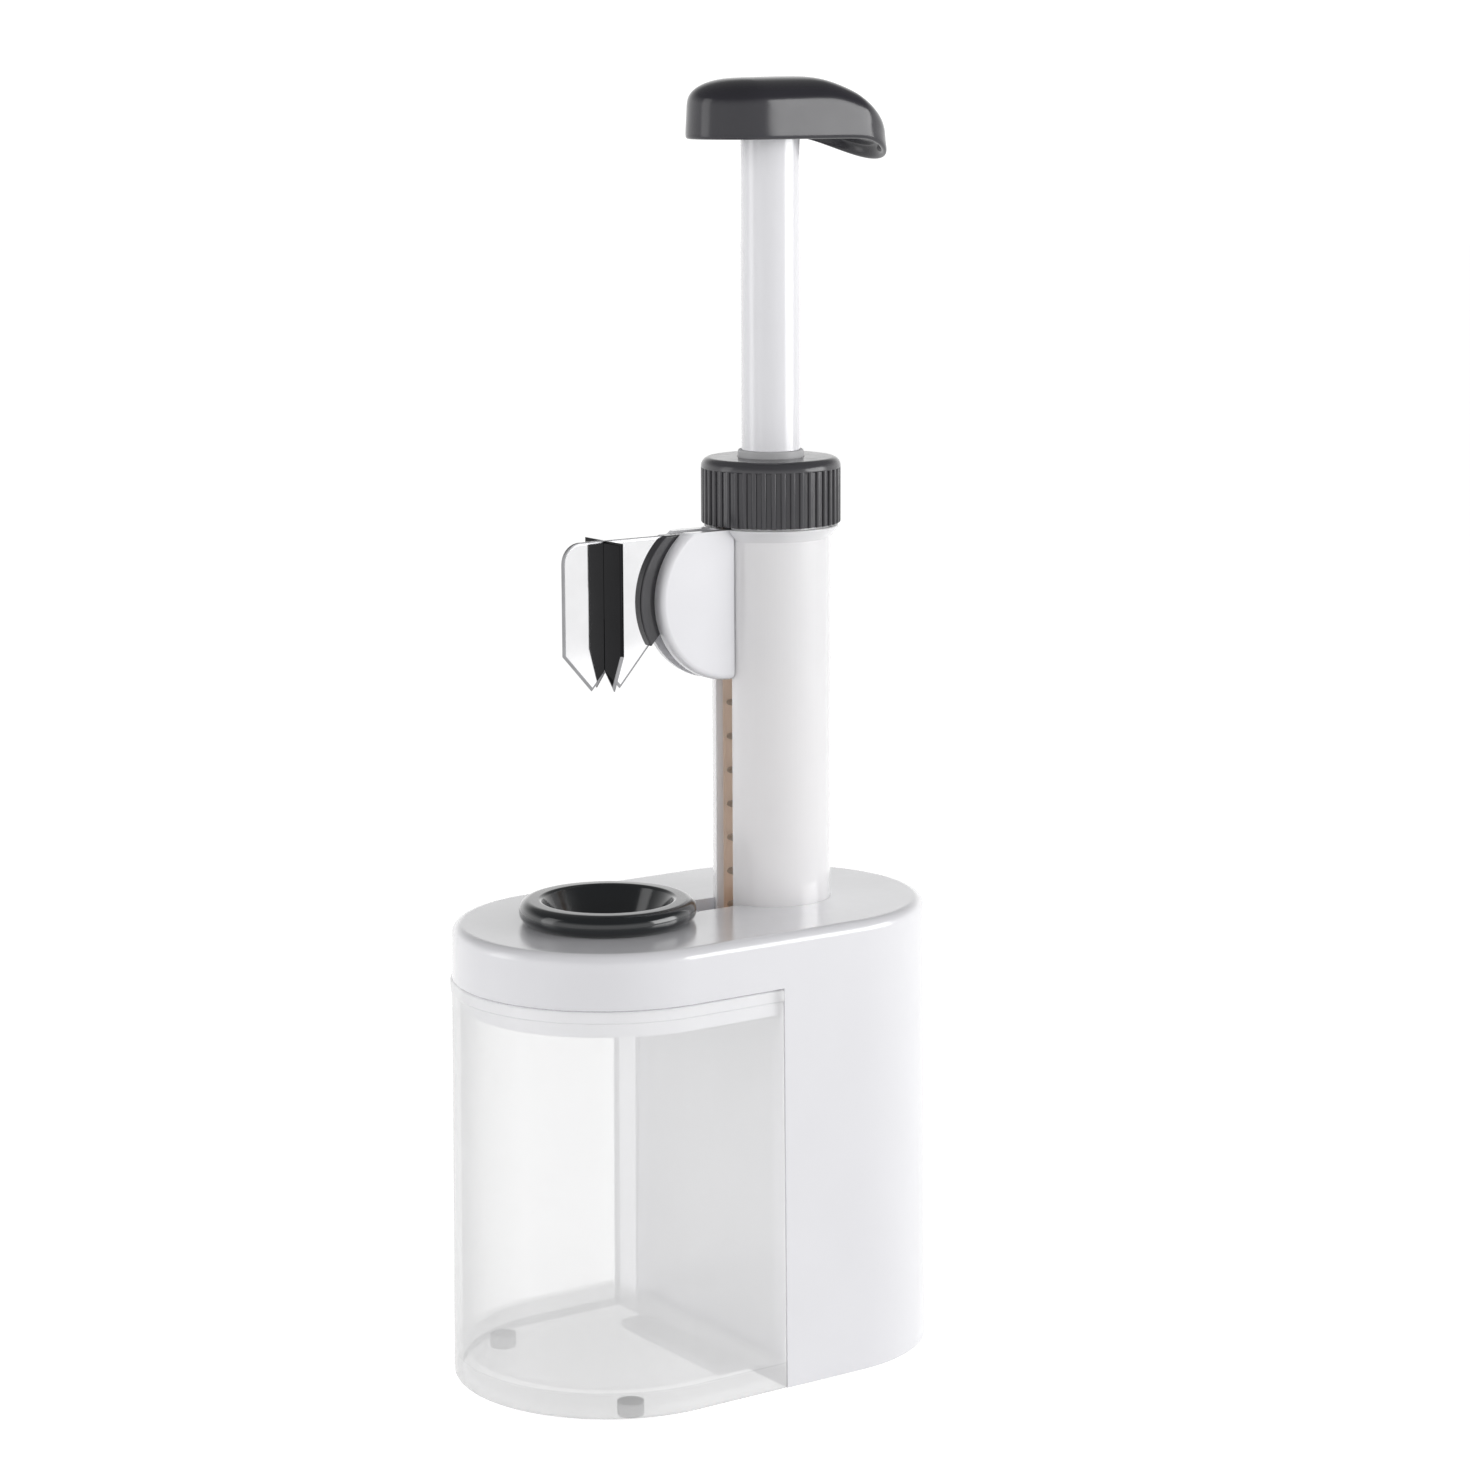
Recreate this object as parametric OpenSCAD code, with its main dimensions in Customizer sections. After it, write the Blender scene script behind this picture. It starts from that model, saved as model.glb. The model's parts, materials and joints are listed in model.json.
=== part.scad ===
// Plum pitter: a spring-loaded knife cross on a guide column above a seat ring,
// over a two-part base with a pull-out container.
// Frame: +X runs from the seat ring to the column, -Y is the front, Z = 0 is the table.

/* [Base] */
// Plan radius of each round end of the base, at the deck
base_r = 38; // [35:0.5:44]
// Distance from the seat ring's axis to the column's axis
axis_gap = 48.8; // [46:0.2:60]
// Height of the deck above the table
deck_z = 114.3; // [106:0.1:130]
// Extra plan radius at the foot of the base
draft = 1.2; // [0:0.1:2]
// Wall of the housing
wall = 2.4; // [2.1:0.1:3]
// Thickness of the deck
deck_t = 3; // [2.4:0.1:3.6]
// Rounding of the deck's edge
edge_r = 2.7; // [1:0.1:3]
// Height of the cover's side band above the container
cover_h = 13.1; // [11:0.1:16]
// Depth of the skirt that reaches down inside the container
skirt_h = 7; // [4:0.5:10]
// Where the housing's body starts, from the middle of the base
joint_x = 1.5; // [0:0.1:2.5]
// How far the partition is set back behind that joint
partition_set = 5.4; // [0:0.1:5.6]
// Width of the relief slot in the deck
deck_slot_w = 10.8; // [10.4:0.1:12]
// Depth of the relief slot below the deck
deck_slot_depth = 6; // [5:0.5:8]

/* [Bottom plate and feet] */
// Thickness of the bottom plate
plate_t = 2.2; // [2:0.1:3]
// Length of the plate's lip under the container
lip_l = 9; // [5:0.5:14]
// Width of that lip
lip_w = 44; // [30:1:56]
// Diameter of the foot pads
foot_d = 6.5; // [5:0.5:8]
// Height of the walls above the table
foot_h = 0.8; // [0.6:0.1:1.2]
// Depth of the pads' pockets in the plate
foot_pocket = 0.8; // [0.5:0.1:1]
// Diameter of the screw bosses
boss_d = 8; // [7:0.5:9]
// Height of the screw bosses
boss_h = 14; // [12:0.5:20]
// Distance of the partition's bosses from the long axis
boss_y = 19; // [14:0.5:24]
// Angle of the far feet from the long axis
far_foot_angle = 40; // [25:1:60]

/* [Container] */
// Wall of the container
container_wall = 2; // [1.6:0.1:2]
// Thickness of the container's floor
floor_t = 4; // [2:0.1:5]
// How far the rim's bead stands out
bead_out = 0.5; // [0.2:0.1:1]
// Height of the rim's bead
bead_h = 3; // [2:0.1:5]
// Angle of the container's feet from the long axis
foot_angle = 65; // [45:1:75]

/* [Column and spring] */
// Outer diameter of the column
column_d = 29.4; // [27:0.2:32]
// Wall of the column
column_wall = 2.2; // [1.8:0.1:2.6]
// Width of the column's slot
slot_w = 7; // [6:0.1:8]
// Height of the column from the deck to the cap
column_h = 94; // [92:0.5:110]
// Height of the flare round the column under the cap
flare_h = 3; // [2:0.1:4]
// How far the flare stands out from the column
flare_out = 2.3; // [1:0.1:2.4]
// Depth of the column's socket below the deck
socket_depth = 48; // [44:0.5:56]
// Outer diameter of the return spring
spring_d = 22.4; // [20:0.1:23]
// Diameter of the spring's wire
wire_d = 1.4; // [1:0.1:1.6]
// Turns of the spring
spring_turns = 11.5; // [9:0.5:13]
// Height of the spring seat's disc
spring_seat_t = 4; // [3:0.5:6]
// Diameter of the spring seat's pilot
pilot_d = 15; // [12:0.5:16]
// Height of the pilot above the disc
pilot_h = 6; // [4:0.5:10]

/* [Carriage and blades] */
// Radius of the carriage's round cheeks
cheek_r = 20.6; // [19:0.1:22]
// Height of the cheeks' flat top above their centre
cheek_rise = 16.4; // [15:0.1:17.5]
// Thickness over both cheeks
cheek_span = 9.6; // [9:0.1:10]
// Thickness of the blade grip between the cheeks
grip_t = 3.8; // [3:0.1:4.4]
// How far the grip stands out past the cheeks
grip_out = 3.9; // [2:0.1:5]
// Height of the slider inside the column
slider_h = 32; // [26:0.5:32]
// How far the slider's top lies below the cheeks' top
slider_drop = 1.8; // [1:0.1:3]
// Distance from the cheeks' centre to the grip's end
grip_set = 1.5; // [1:0.1:2.5]
// Distance from the cheeks' centre to the long blade's end
blade_set = 9; // [7:0.1:10]
// Thickness of the blades' steel
blade_t = 1; // [0.8:0.1:1.2]
// Half width of the long blade, from the seat ring's axis
blade_reach = 12; // [10:0.5:13]
// Height of the blades' upper edge above the cheeks' centre
blade_rise = 15.9; // [14:0.1:16]
// Depth from the blades' upper edge to the tips
blade_h = 36.2; // [30:0.1:36.6]
// Height of the slanted cutting edges
cut_h = 9; // [6:0.5:10]
// Half distance between the tips
tip_x = 4; // [3:0.1:5]
// Depth of the notch between the tips
notch_h = 4.4; // [3:0.1:6]
// Half width of the cross blade
cross_reach = 8.2; // [6.5:0.1:9]
// Corner radius of the long blade
blade_corner = 5; // [2:0.5:6]
// Depth of the lap where the blades cross, from the upper edge
lap_h = 18.8; // [14:0.1:22]
// Diameter of the blade pins
blade_pin_d = 2.5; // [2:0.1:3]
// Distance of the pins from the long blade's end
blade_pin_set = 3.5; // [2.5:0.1:4.5]
// Distance of the upper pin from the blades' upper edge
blade_pin_drop = 4; // [3:0.1:5]
// Distance between the two pins
blade_pin_pitch = 6; // [5:0.1:8]

/* [Rod, cap and bush] */
// Diameter of the rod
rod_d = 14.4; // [12:0.2:15]
// Rod that shows between the cap and the handle
rod_show = 77; // [70:1:90]
// Depth of the rod's bore in the slider
rod_seat = 22; // [16:0.5:24]
// Diameter of the cross pins in the rod
pin_d = 3; // [2.5:0.1:3.5]
// Wall of the cap, ribs included
cap_wall = 2.4; // [2:0.1:4]
// Height of the cap
cap_h = 16.2; // [15:0.1:20]
// Thickness of the cap's top
cap_t = 3; // [2.5:0.1:4]
// Rounding of the cap's upper edge
cap_round = 3; // [1:0.1:3]
// Number of grip ribs round the cap
rib_count = 44; // [24:1:60]
// Width of a rib
rib_w = 1.2; // [0.8:0.1:1.4]
// How deep the grooves between the ribs are
rib_depth = 0.5; // [0.3:0.1:0.7]
// Thickness of the bush's flange
bush_flange = 2.5; // [2:0.1:3.5]
// Wall of the bush's lip round the rod
bush_lip = 0.8; // [0.6:0.1:1.2]
// Height of the bush's lip above the cap
bush_rise = 1.8; // [1:0.1:3]
// Thickness of the rubber bumper
bumper_t = 3.7; // [2:0.1:4.5]

/* [Handle] */
// Radius of the handle's end over the blades
handle_r1 = 13.6; // [12:0.1:15]
// Radius of the handle's other end
handle_r2 = 14.8; // [13:0.1:16]
// Distance from the rod to the first end's centre
handle_x1 = 8.4; // [6:0.1:12]
// Distance from the rod to the other end's centre
handle_x2 = 16.9; // [14:0.1:22]
// Height of the handle's upright side
handle_side = 8.2; // [7:0.1:9]
// Height of that side at the far end
far_side = 1.8; // [1.7:0.1:4]
// Height of the crown above the side
handle_crown = 7; // [5:0.1:8]
// How far the crown draws in
crown_in = 11.5; // [9:0.1:12]
// Distance from the rod to where the crown starts to fall
crest_x = 9; // [6:0.1:12]
// Wall of the handle's shell
handle_wall = 2.2; // [1.8:0.1:2.6]
// Thickness of the insert that closes the handle
insert_t = 1.6; // [1.2:0.1:1.7]
// Depth of the lip under the far end
lip_drop = 5.9; // [3:0.1:7]
// Length of that lip
lip_reach = 15; // [9:0.5:16]
// Height of the rod's socket in the handle
handle_seat = 9; // [8:0.1:9.4]
// Roof of that socket
seat_roof = 1; // [0.6:0.1:1.4]
// How far the lip is set in from the shell's side
lip_inset = 0.6; // [0.3:0.1:1]

/* [Seat ring] */
// Outer diameter of the seat ring
ring_d = 43.3; // [40:0.1:46]
// Height of the ring above the deck
ring_h = 5.4; // [4:0.1:5.6]
// Diameter of the ring's throat
throat_d = 25; // [20:0.5:27]
// Wall of the ring's spigot
spigot_wall = 4; // [3:0.1:5]
// Thickness of the clip under the deck
clip_t = 2.4; // [2:0.1:3]
// Width of the clip
clip_w = 3; // [2:0.1:4]

/* [Clearances] */
// Fit between fixed pieces
fit = 0.1; // [0.05:0.01:0.15]
// Running fit between sliding round pieces
run = 0.1; // [0.05:0.01:0.15]
// Gap between bodies that move apart
slide_gap = 0.4; // [0.3:0.05:0.5]
// Gap between the carriage's top and the cap
cap_gap = 0.5; // [0.4:0.05:0.8]
// Distance of the cheeks' centre from the column's side
cheek_set = 0.5; // [0.2:0.1:1]
// How far bosses and ribs sink into the wall that carries them
bite = 0.7; // [0.4:0.1:1]
// Gap between the skirt and the container's low wall
low_wall_gap = 1; // [0.6:0.1:2]

/* [Hidden] */
$fn = 64;
// Overshoot of a cut past the face that it opens
over = 1;
seat_x = -axis_gap / 2;
col_x = axis_gap / 2;
cover_z = deck_z - cover_h;
rim_z = cover_z - slide_gap;
plate_top = foot_h + plate_t;
floor_z = plate_top + slide_gap / 2;
floor_top = floor_z + floor_t;
low_wall_z = cover_z - skirt_h - low_wall_gap;
skirt_in = container_wall + slide_gap / 2;
container_x = joint_x - slide_gap;
partition_x = joint_x + partition_set;
socket_z = deck_z - socket_depth;
column_z = socket_z + wall;
bore_d = column_d - 2 * column_wall;
cap_d = column_d + 2 * run + 2 * cap_wall;
cap_z = deck_z + column_h;
cap_top = cap_z + cap_h;
column_top = cap_top - cap_t - bush_flange;
cheek_top = cap_z - cap_gap;
cheek_z = cheek_top - cheek_rise;
cheek_x = col_x - column_d / 2 - cheek_set;
slider_top = cheek_top - slider_drop;
slider_z = slider_top - slider_h;
slider_d = bore_d - 2 * run;
neck_w = slot_w - 2 * slide_gap;
rod_z = slider_top - rod_seat;
handle_z = cap_top + rod_show;
rod_top = handle_z + handle_seat;
blade_top = cheek_z + blade_rise;
tip_z = blade_top - blade_h;
blade_end = cheek_x - blade_set;
blade_slot = blade_t + 2 * fit;
grip_end = cheek_x - grip_set;
lap_z = blade_top - lap_h;
bush_z = slider_top + bumper_t + slide_gap;
spring_z = column_z + spring_seat_t;
spring_rise = slider_z - spring_z;
spigot_d = throat_d + 2 * spigot_wall;
base_reach = 4 * base_r;

// Plan radius of the drafted base wall at height z
function base_r_at(z) = base_r + draft * (deck_z - z) / (deck_z - foot_h);

// Sweeps a half profile (radius, height) round the base's plan
module stadium() {
    for (side = [-1, 1])
        translate([side * axis_gap / 2, 0, 0])
            rotate([0, 0, -90 * side])
                rotate_extrude(angle = 180)
                    children();
    translate([-axis_gap / 2, 0, 0])
        rotate([90, 0, 90])
            linear_extrude(axis_gap) {
                children();
                mirror([1, 0])
                    children();
            }
}

// Solid half profile of the drafted wall, set in by inset
module wall_profile(inset, z0, z1)
    polygon([[0, z0], [base_r_at(z0) - inset, z0], [base_r_at(z1) - inset, z1], [0, z1]]);

module outer_profile() {
    corner_z = deck_z - edge_r;
    wall_profile(0, foot_h, corner_z);
    translate([0, corner_z])
        square([base_r - edge_r, edge_r]);
    translate([base_r - edge_r, corner_z])
        intersection() {
            circle(edge_r);
            square(edge_r);
        }
}

// Everything on one side of an upright plane across the base
module left_of(x)
    translate([x - base_reach, -base_reach / 2, -over])
        cube([base_reach, base_reach, deck_z + 2 * over]);

module right_of(x)
    translate([x, -base_reach / 2, -over])
        cube([base_reach, base_reach, deck_z + 2 * over]);

module at_column(z)
    translate([col_x, 0, z])
        children();

module at_seat(z)
    translate([seat_x, 0, z])
        children();

// Places of the plate's screws: two at the partition and one at the far end
module at_bosses() {
    for (side = [-1, 1])
        translate([partition_x + wall + boss_d / 2 - bite, side * boss_y, 0])
            children();
    translate([col_x + base_r_at(plate_top) - wall - boss_d / 2 + bite, 0, 0])
        children();
}

module at_base_feet() {
    r = base_r - 2 * wall - foot_d / 2;
    for (side = [-1, 1]) {
        translate([joint_x + wall + foot_d, side * r, 0])
            children();
        translate([col_x + r * cos(far_foot_angle), side * r * sin(far_foot_angle), 0])
            children();
    }
}

module at_container_feet() {
    r = base_r - container_wall - foot_d / 2;
    for (side = [-1, 1])
        translate([seat_x - r * cos(foot_angle), side * r * sin(foot_angle), 0])
            children();
}

// Cylinder lying along Y, centred on Y = 0
module cross_pin(d, length)
    rotate([90, 0, 0])
        cylinder(d = d, h = length, center = true);

// Extrudes an outline drawn in X and Z to a thickness centred on Y = 0
module upright(t)
    translate([0, t / 2, 0])
        rotate([90, 0, 0])
            linear_extrude(t)
                children();

module base_housing()
    color("white")
        difference() {
            union() {
                difference() {
                    stadium() outer_profile();
                    stadium() wall_profile(wall, 0, deck_z - deck_t);
                    translate([0, 0, cover_z - deck_z - over])
                        left_of(joint_x);
                }
                housing_skirt();
                housing_partition();
                at_column(socket_z)
                    cylinder(d = column_d + 2 * fit + 2 * wall, h = socket_depth - deck_t / 2);
                at_bosses()
                    translate([0, 0, plate_top])
                        cylinder(d = boss_d, h = boss_h);
            }
            at_column(column_z)
                cylinder(d = column_d + 2 * fit, h = socket_depth);
            at_column(socket_z - over)
                cylinder(d = pilot_d / 2, h = wall + 2 * over);
            at_seat(cover_z - skirt_h)
                cylinder(d = spigot_d + 2 * fit, h = cover_h + skirt_h + over);
            translate([seat_x, -deck_slot_w / 2, deck_z - deck_slot_depth])
                cube([axis_gap, deck_slot_w, deck_slot_depth + over]);
            at_column_screws()
                cross_pin(pin_d + 2 * fit, column_d + 4 * wall);
            at_bosses()
                cylinder(d = pin_d + 2 * fit, h = plate_top + boss_h - wall / 2);
        }

module housing_skirt()
    difference() {
        stadium() wall_profile(skirt_in, cover_z - skirt_h, deck_z - deck_t / 2);
        stadium() wall_profile(skirt_in + wall, cover_z - skirt_h - over, deck_z);
        right_of(partition_x + wall / 2);
    }

module housing_partition()
    intersection() {
        stadium() wall_profile(wall / 2, plate_top + fit, deck_z - deck_t / 2);
        difference() {
            right_of(partition_x);
            right_of(partition_x + wall);
        }
    }

screw_head_d = 2 * pin_d;
screw_head_h = plate_t / 2;

module bottom_plate()
    color("gainsboro")
        difference() {
            union() {
                intersection() {
                    stadium() wall_profile(wall + fit, foot_h, plate_top);
                    right_of(joint_x);
                }
                translate([joint_x - lip_l, -lip_w / 2, foot_h])
                    cube([lip_l + wall, lip_w, plate_t]);
            }
            at_bosses() {
                cylinder(d = pin_d + 2 * fit, h = plate_top + over);
                cylinder(d = screw_head_d + 2 * fit, h = foot_h + screw_head_h);
            }
            at_base_feet()
                cylinder(d = foot_d + 2 * fit, h = foot_h + foot_pocket);
        }

module plate_screws()
    color("silver")
        at_bosses() {
            translate([0, 0, foot_h])
                cylinder(d = screw_head_d, h = screw_head_h);
            translate([0, 0, foot_h])
                cylinder(d = pin_d, h = plate_t + boss_h - wall);
        }

module base_feet()
    color("dimgray")
        at_base_feet()
            cylinder(d = foot_d, h = foot_h + foot_pocket);

module container()
    color([0.9, 0.9, 0.92, 0.6])
        difference() {
            intersection() {
                stadium() {
                    wall_profile(0, foot_h, rim_z);
                    translate([base_r - container_wall / 2, rim_z - bead_h])
                        square([container_wall / 2 + bead_out, bead_h]);
                }
                left_of(container_x);
            }
            difference() {
                stadium() wall_profile(container_wall, floor_top, rim_z + over);
                translate([container_x - container_wall, -base_reach / 2, 0])
                    cube([base_reach, base_reach, low_wall_z]);
            }
            stadium() wall_profile(container_wall, 0, floor_z);
        }

module container_feet()
    color("dimgray")
        at_container_feet()
            cylinder(d = foot_d, h = floor_z);

module column()
    color("white")
        difference() {
            union() {
                at_column(column_z)
                    cylinder(d = column_d, h = column_top - column_z);
                difference() {
                    at_column(cheek_top - flare_h)
                        cylinder(d1 = column_d, d2 = column_d + 2 * flare_out, h = flare_h);
                    translate([col_x - 2 * column_d, -cheek_span / 2 - slide_gap, 0])
                        cube([2 * column_d, cheek_span + 2 * slide_gap, cap_top]);
                }
            }
            at_column(column_z - over)
                cylinder(d = bore_d, h = column_top - column_z + 2 * over);
            translate([col_x - column_d, -slot_w / 2, deck_z - deck_t])
                cube([column_d, slot_w, column_top]);
            at_column_screws()
                cross_pin(pin_d + 2 * fit, 2 * column_d);
        }

module at_column_screws()
    at_column(deck_z - socket_depth / 2)
        children();

// One screw from each side, through the socket's wall into the column's wall
module column_screws()
    color("silver")
        for (side = [-1, 1])
            at_column_screws()
                rotate([90 * side, 0, 0])
                    translate([0, 0, bore_d / 2 + slide_gap]) {
                        shank = column_wall + fit + wall - slide_gap;
                        cylinder(d = pin_d, h = shank);
                        translate([0, 0, shank])
                            cylinder(d = screw_head_d, h = screw_head_h);
                    }

module spring_seat()
    color("gainsboro")
        at_column(column_z) {
            cylinder(d = bore_d - 2 * fit, h = spring_seat_t);
            cylinder(d = pilot_d, h = spring_seat_t + pilot_h);
        }

// The spring's wire: one helix with a short upright run at each end
spring_r = (spring_d - wire_d) / 2;
spring_steps = 8;
wire_sides = 6;
spring_count = round(spring_turns * spring_steps);
spring_z0 = spring_z + wire_d;
spring_pitch = (spring_rise - 2 * wire_d) / spring_turns;
function spring_angle(i) = 360 * i / spring_steps;
function spring_out(i) = [cos(spring_angle(i)), sin(spring_angle(i)), 0];
function spring_point(i) =
    spring_r * spring_out(i) + [0, 0, spring_z0 + spring_pitch * i / spring_steps];
spring_path = concat(
    [spring_point(0) - [0, 0, wire_d]],
    [for (i = [0 : spring_count]) spring_point(i)],
    [spring_point(spring_count) + [0, 0, wire_d]]);
spring_last = len(spring_path) - 1;
function unit(v) = v / norm(v);
function wire_turn(i) = spring_out(min(max(i - 1, 0), spring_count));
function wire_tangent(i) = (i == 0 || i == spring_last) ? [0, 0, 1] :
    unit(unit(spring_path[i + 1] - spring_path[i]) + unit(spring_path[i] - spring_path[i - 1]));
function wire_ring(i) =
    let (side = unit(cross(wire_tangent(i), wire_turn(i))), out = cross(side, wire_tangent(i)))
        [for (k = [0 : wire_sides - 1])
            let (a = 360 * k / wire_sides)
                spring_path[i] + wire_d / 2 * (cos(a) * out + sin(a) * side)];
wire_points = [for (i = [0 : spring_last]) each wire_ring(i)];
function wire_quad(a, b, c, d) = [[a, b, c], [a, c, d]];
wire_faces = concat(
    [for (k = [1 : wire_sides - 2]) [0, k, k + 1]],
    [for (i = [0 : spring_last - 1], k = [0 : wire_sides - 1])
        let (n = (k + 1) % wire_sides, low = i * wire_sides, high = low + wire_sides)
            each wire_quad(low + k, high + k, high + n, low + n)],
    [for (k = [1 : wire_sides - 2])
        let (top = spring_last * wire_sides) [top, top + k + 1, top + k]]);
spring_gap = min([for (i = [0 : spring_last], j = [i + spring_steps / 2 : spring_last])
    norm(spring_path[i] - spring_path[j])]) - wire_d;
echo(least_gap_of_spring_to_itself = spring_gap);

module return_spring()
    color("tan")
        translate([col_x, 0, 0])
            polyhedron(wire_points, wire_faces);

module cheek_outline(shift, end)
    intersection() {
        translate([cheek_x - shift, cheek_z])
            circle(cheek_r);
        translate([end - 3 * cheek_r, cheek_z - cheek_r])
            square([3 * cheek_r, cheek_r + cheek_rise]);
    }

module carriage()
    color("white")
        difference() {
            union() {
                at_column(slider_z)
                    cylinder(d = slider_d, h = slider_h);
                difference() {
                    upright(cheek_span)
                        cheek_outline(0, col_x);
                    at_column(0)
                        cylinder(d = column_d + 2 * slide_gap, h = cap_top);
                }
                translate([grip_end, -neck_w / 2, slider_z])
                    cube([col_x - grip_end, neck_w, slider_h]);
            }
            translate([grip_end - 2 * cheek_r, -grip_t / 2 - fit, 0])
                cube([2 * cheek_r, grip_t + 2 * fit, cap_top]);
            at_column(rod_z)
                cylinder(d = rod_d + 2 * fit, h = rod_seat + over);
            at_column(rod_pin_z)
                cross_pin(pin_d + 2 * fit, column_d);
        }

rod_pin_z = slider_top - rod_seat / 2;

// Outline of the long blade: half widths are measured from the seat ring's axis
module long_blade_outline() {
    left = seat_x - blade_reach;
    shoulder_z = tip_z + cut_h;
    slope = cut_h / (blade_reach - tip_x);
    right_z = tip_z + slope * (blade_end - seat_x - tip_x);
    difference() {
        union() {
            polygon([[left, shoulder_z], [seat_x - tip_x, tip_z], [seat_x, tip_z + notch_h],
                [seat_x + tip_x, tip_z], [blade_end, right_z], [blade_end, blade_top],
                [left + blade_corner, blade_top], [left + blade_corner, blade_top - blade_corner],
                [left, blade_top - blade_corner]]);
            translate([left + blade_corner, blade_top - blade_corner])
                circle(blade_corner);
        }
        translate([seat_x - blade_slot / 2, 0])
            square([blade_slot, lap_z]);
    }
}

module blade_grip()
    color("dimgray")
        difference() {
            upright(grip_t)
                intersection() {
                    cheek_outline(grip_out, grip_end);
                    slope = cut_h / (blade_reach - tip_x);
                    grip_left = cheek_x - grip_out - cheek_r;
                    polygon([[grip_left, tip_z + slope * (grip_left - seat_x - tip_x)],
                        [grip_end, tip_z + slope * (grip_end - seat_x - tip_x)],
                        [grip_end, blade_top], [grip_left, blade_top]]);
                }
            translate([grip_end - 3 * cheek_r, -blade_slot / 2, 0])
                cube([3 * cheek_r - grip_end + blade_end + fit, blade_slot, cap_top]);
            at_blade_pins()
                cross_pin(blade_pin_d + 2 * fit, 2 * grip_t);
        }

module at_blade_pins()
    for (drop = [blade_pin_drop, blade_pin_drop + blade_pin_pitch])
        translate([blade_end - blade_pin_set, 0, blade_top - drop])
            children();

module long_blade()
    color("silver")
        difference() {
            upright(blade_t)
                long_blade_outline();
            at_blade_pins()
                cross_pin(blade_pin_d + 2 * fit, 2 * grip_t);
        }

module cross_blade()
    color("dimgray")
        translate([seat_x, 0, 0])
            rotate([0, 0, 90])
                upright(blade_t)
                    difference() {
                        polygon([[-cross_reach, tip_z + cut_h], [-tip_x, tip_z], [0, tip_z + notch_h],
                            [tip_x, tip_z], [cross_reach, tip_z + cut_h], [cross_reach, blade_top],
                            [-cross_reach, blade_top]]);
                        translate([-blade_slot / 2, lap_z])
                            square([blade_slot, lap_h + over]);
                    }

module blade_pins()
    color("silver")
        at_blade_pins()
            cross_pin(blade_pin_d, grip_t);

module rod()
    color("white")
        difference() {
            at_column(rod_z)
                cylinder(d = rod_d, h = rod_top - rod_z);
            at_column(rod_pin_z)
                cross_pin(pin_d + 2 * fit, column_d);
            at_column(handle_pin_z)
                cross_pin(pin_d + 2 * fit, column_d);
        }

module rod_pin()
    color("silver")
        at_column(rod_pin_z)
            cross_pin(pin_d, slider_d - 2 * bite);

handle_pin_z = handle_z + (insert_t + handle_seat) / 2;
handle_c1 = col_x - handle_x1;
handle_c2 = col_x + handle_x2;
crest_c = col_x + crest_x;
crest_r = handle_r1 + (handle_r2 - handle_r1) * (crest_c - handle_c1) / (handle_c2 - handle_c1);
// Centre, radius and height of the upright side at three places along the handle
handle_stations = [[handle_c1, handle_r1, handle_side], [crest_c, crest_r, handle_side],
    [handle_c2, handle_r2, far_side]];
// The crown is built of thin discs at even angles
crown_step = 15;
crown_disc = 0.1;

// Plan of the handle: two circles and their common tangents, set in by inset
module handle_plan(inset) {
    r1 = handle_r1 - inset;
    r2 = handle_r2 - inset;
    lean = asin((r2 - r1) / (handle_c2 - handle_c1));
    translate([handle_c1, 0])
        circle(r1);
    translate([handle_c2, 0])
        circle(r2);
    polygon([[handle_c1 - r1 * sin(lean), r1 * cos(lean)], [handle_c2 - r2 * sin(lean), r2 * cos(lean)],
        [handle_c2 - r2 * sin(lean), -r2 * cos(lean)], [handle_c1 - r1 * sin(lean), -r1 * cos(lean)]]);
}

// Crowned body of the handle, set in by inset
module handle_body(inset, z0)
    hull()
        for (station = handle_stations) {
            side_z = handle_z + station[2];
            translate([station[0], 0, z0])
                cylinder(r = station[1] - inset, h = side_z - z0, $fn = 32);
            for (a = [crown_step : crown_step : 5 * crown_step]) {
                crown_r = station[1] - inset - (crown_in - inset) * (1 - cos(a));
                translate([station[0], 0, side_z + (handle_crown - inset) * sin(a) - crown_disc])
                    cylinder(r = crown_r, h = crown_disc, $fn = 32);
            }
        }

module handle_shell()
    color("dimgray")
        difference() {
            handle_body(0, handle_z);
            handle_body(handle_wall, handle_z - over);
        }

// Plate that closes the shell, with the rod's socket and the drooping lip
module handle_insert()
    color("dimgray")
        difference() {
            union() {
                translate([0, 0, handle_z])
                    linear_extrude(insert_t)
                        handle_plan(handle_wall + fit);
                at_column(handle_z)
                    cylinder(d = rod_d + 2 * fit + 2 * handle_wall, h = handle_seat + seat_roof);
                intersection() {
                    translate([0, 0, handle_z - lip_drop])
                        linear_extrude(lip_drop)
                            handle_plan(lip_inset);
                    upright(3 * handle_r2)
                        lip_outline();
                }
            }
            at_column(handle_z - over)
                cylinder(d = rod_d + 2 * fit, h = over + handle_seat);
            at_column(handle_pin_z)
                cross_pin(pin_d + 2 * fit, column_d);
        }

// Side view of the lip: a smooth fall from the flat underside to the lip's edge
module lip_outline() {
    start = handle_c2 + handle_r2 - lip_reach;
    steps = 12;
    polygon(concat(
        [for (i = [0 : steps])
            [start + lip_reach * i / steps, handle_z - lip_drop * (1 - cos(180 * i / steps)) / 2]],
        [[start + lip_reach, handle_z]]));
}

module handle_pin()
    color("silver")
        at_column(handle_pin_z)
            cross_pin(pin_d, rod_d + 2 * handle_wall);

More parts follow.
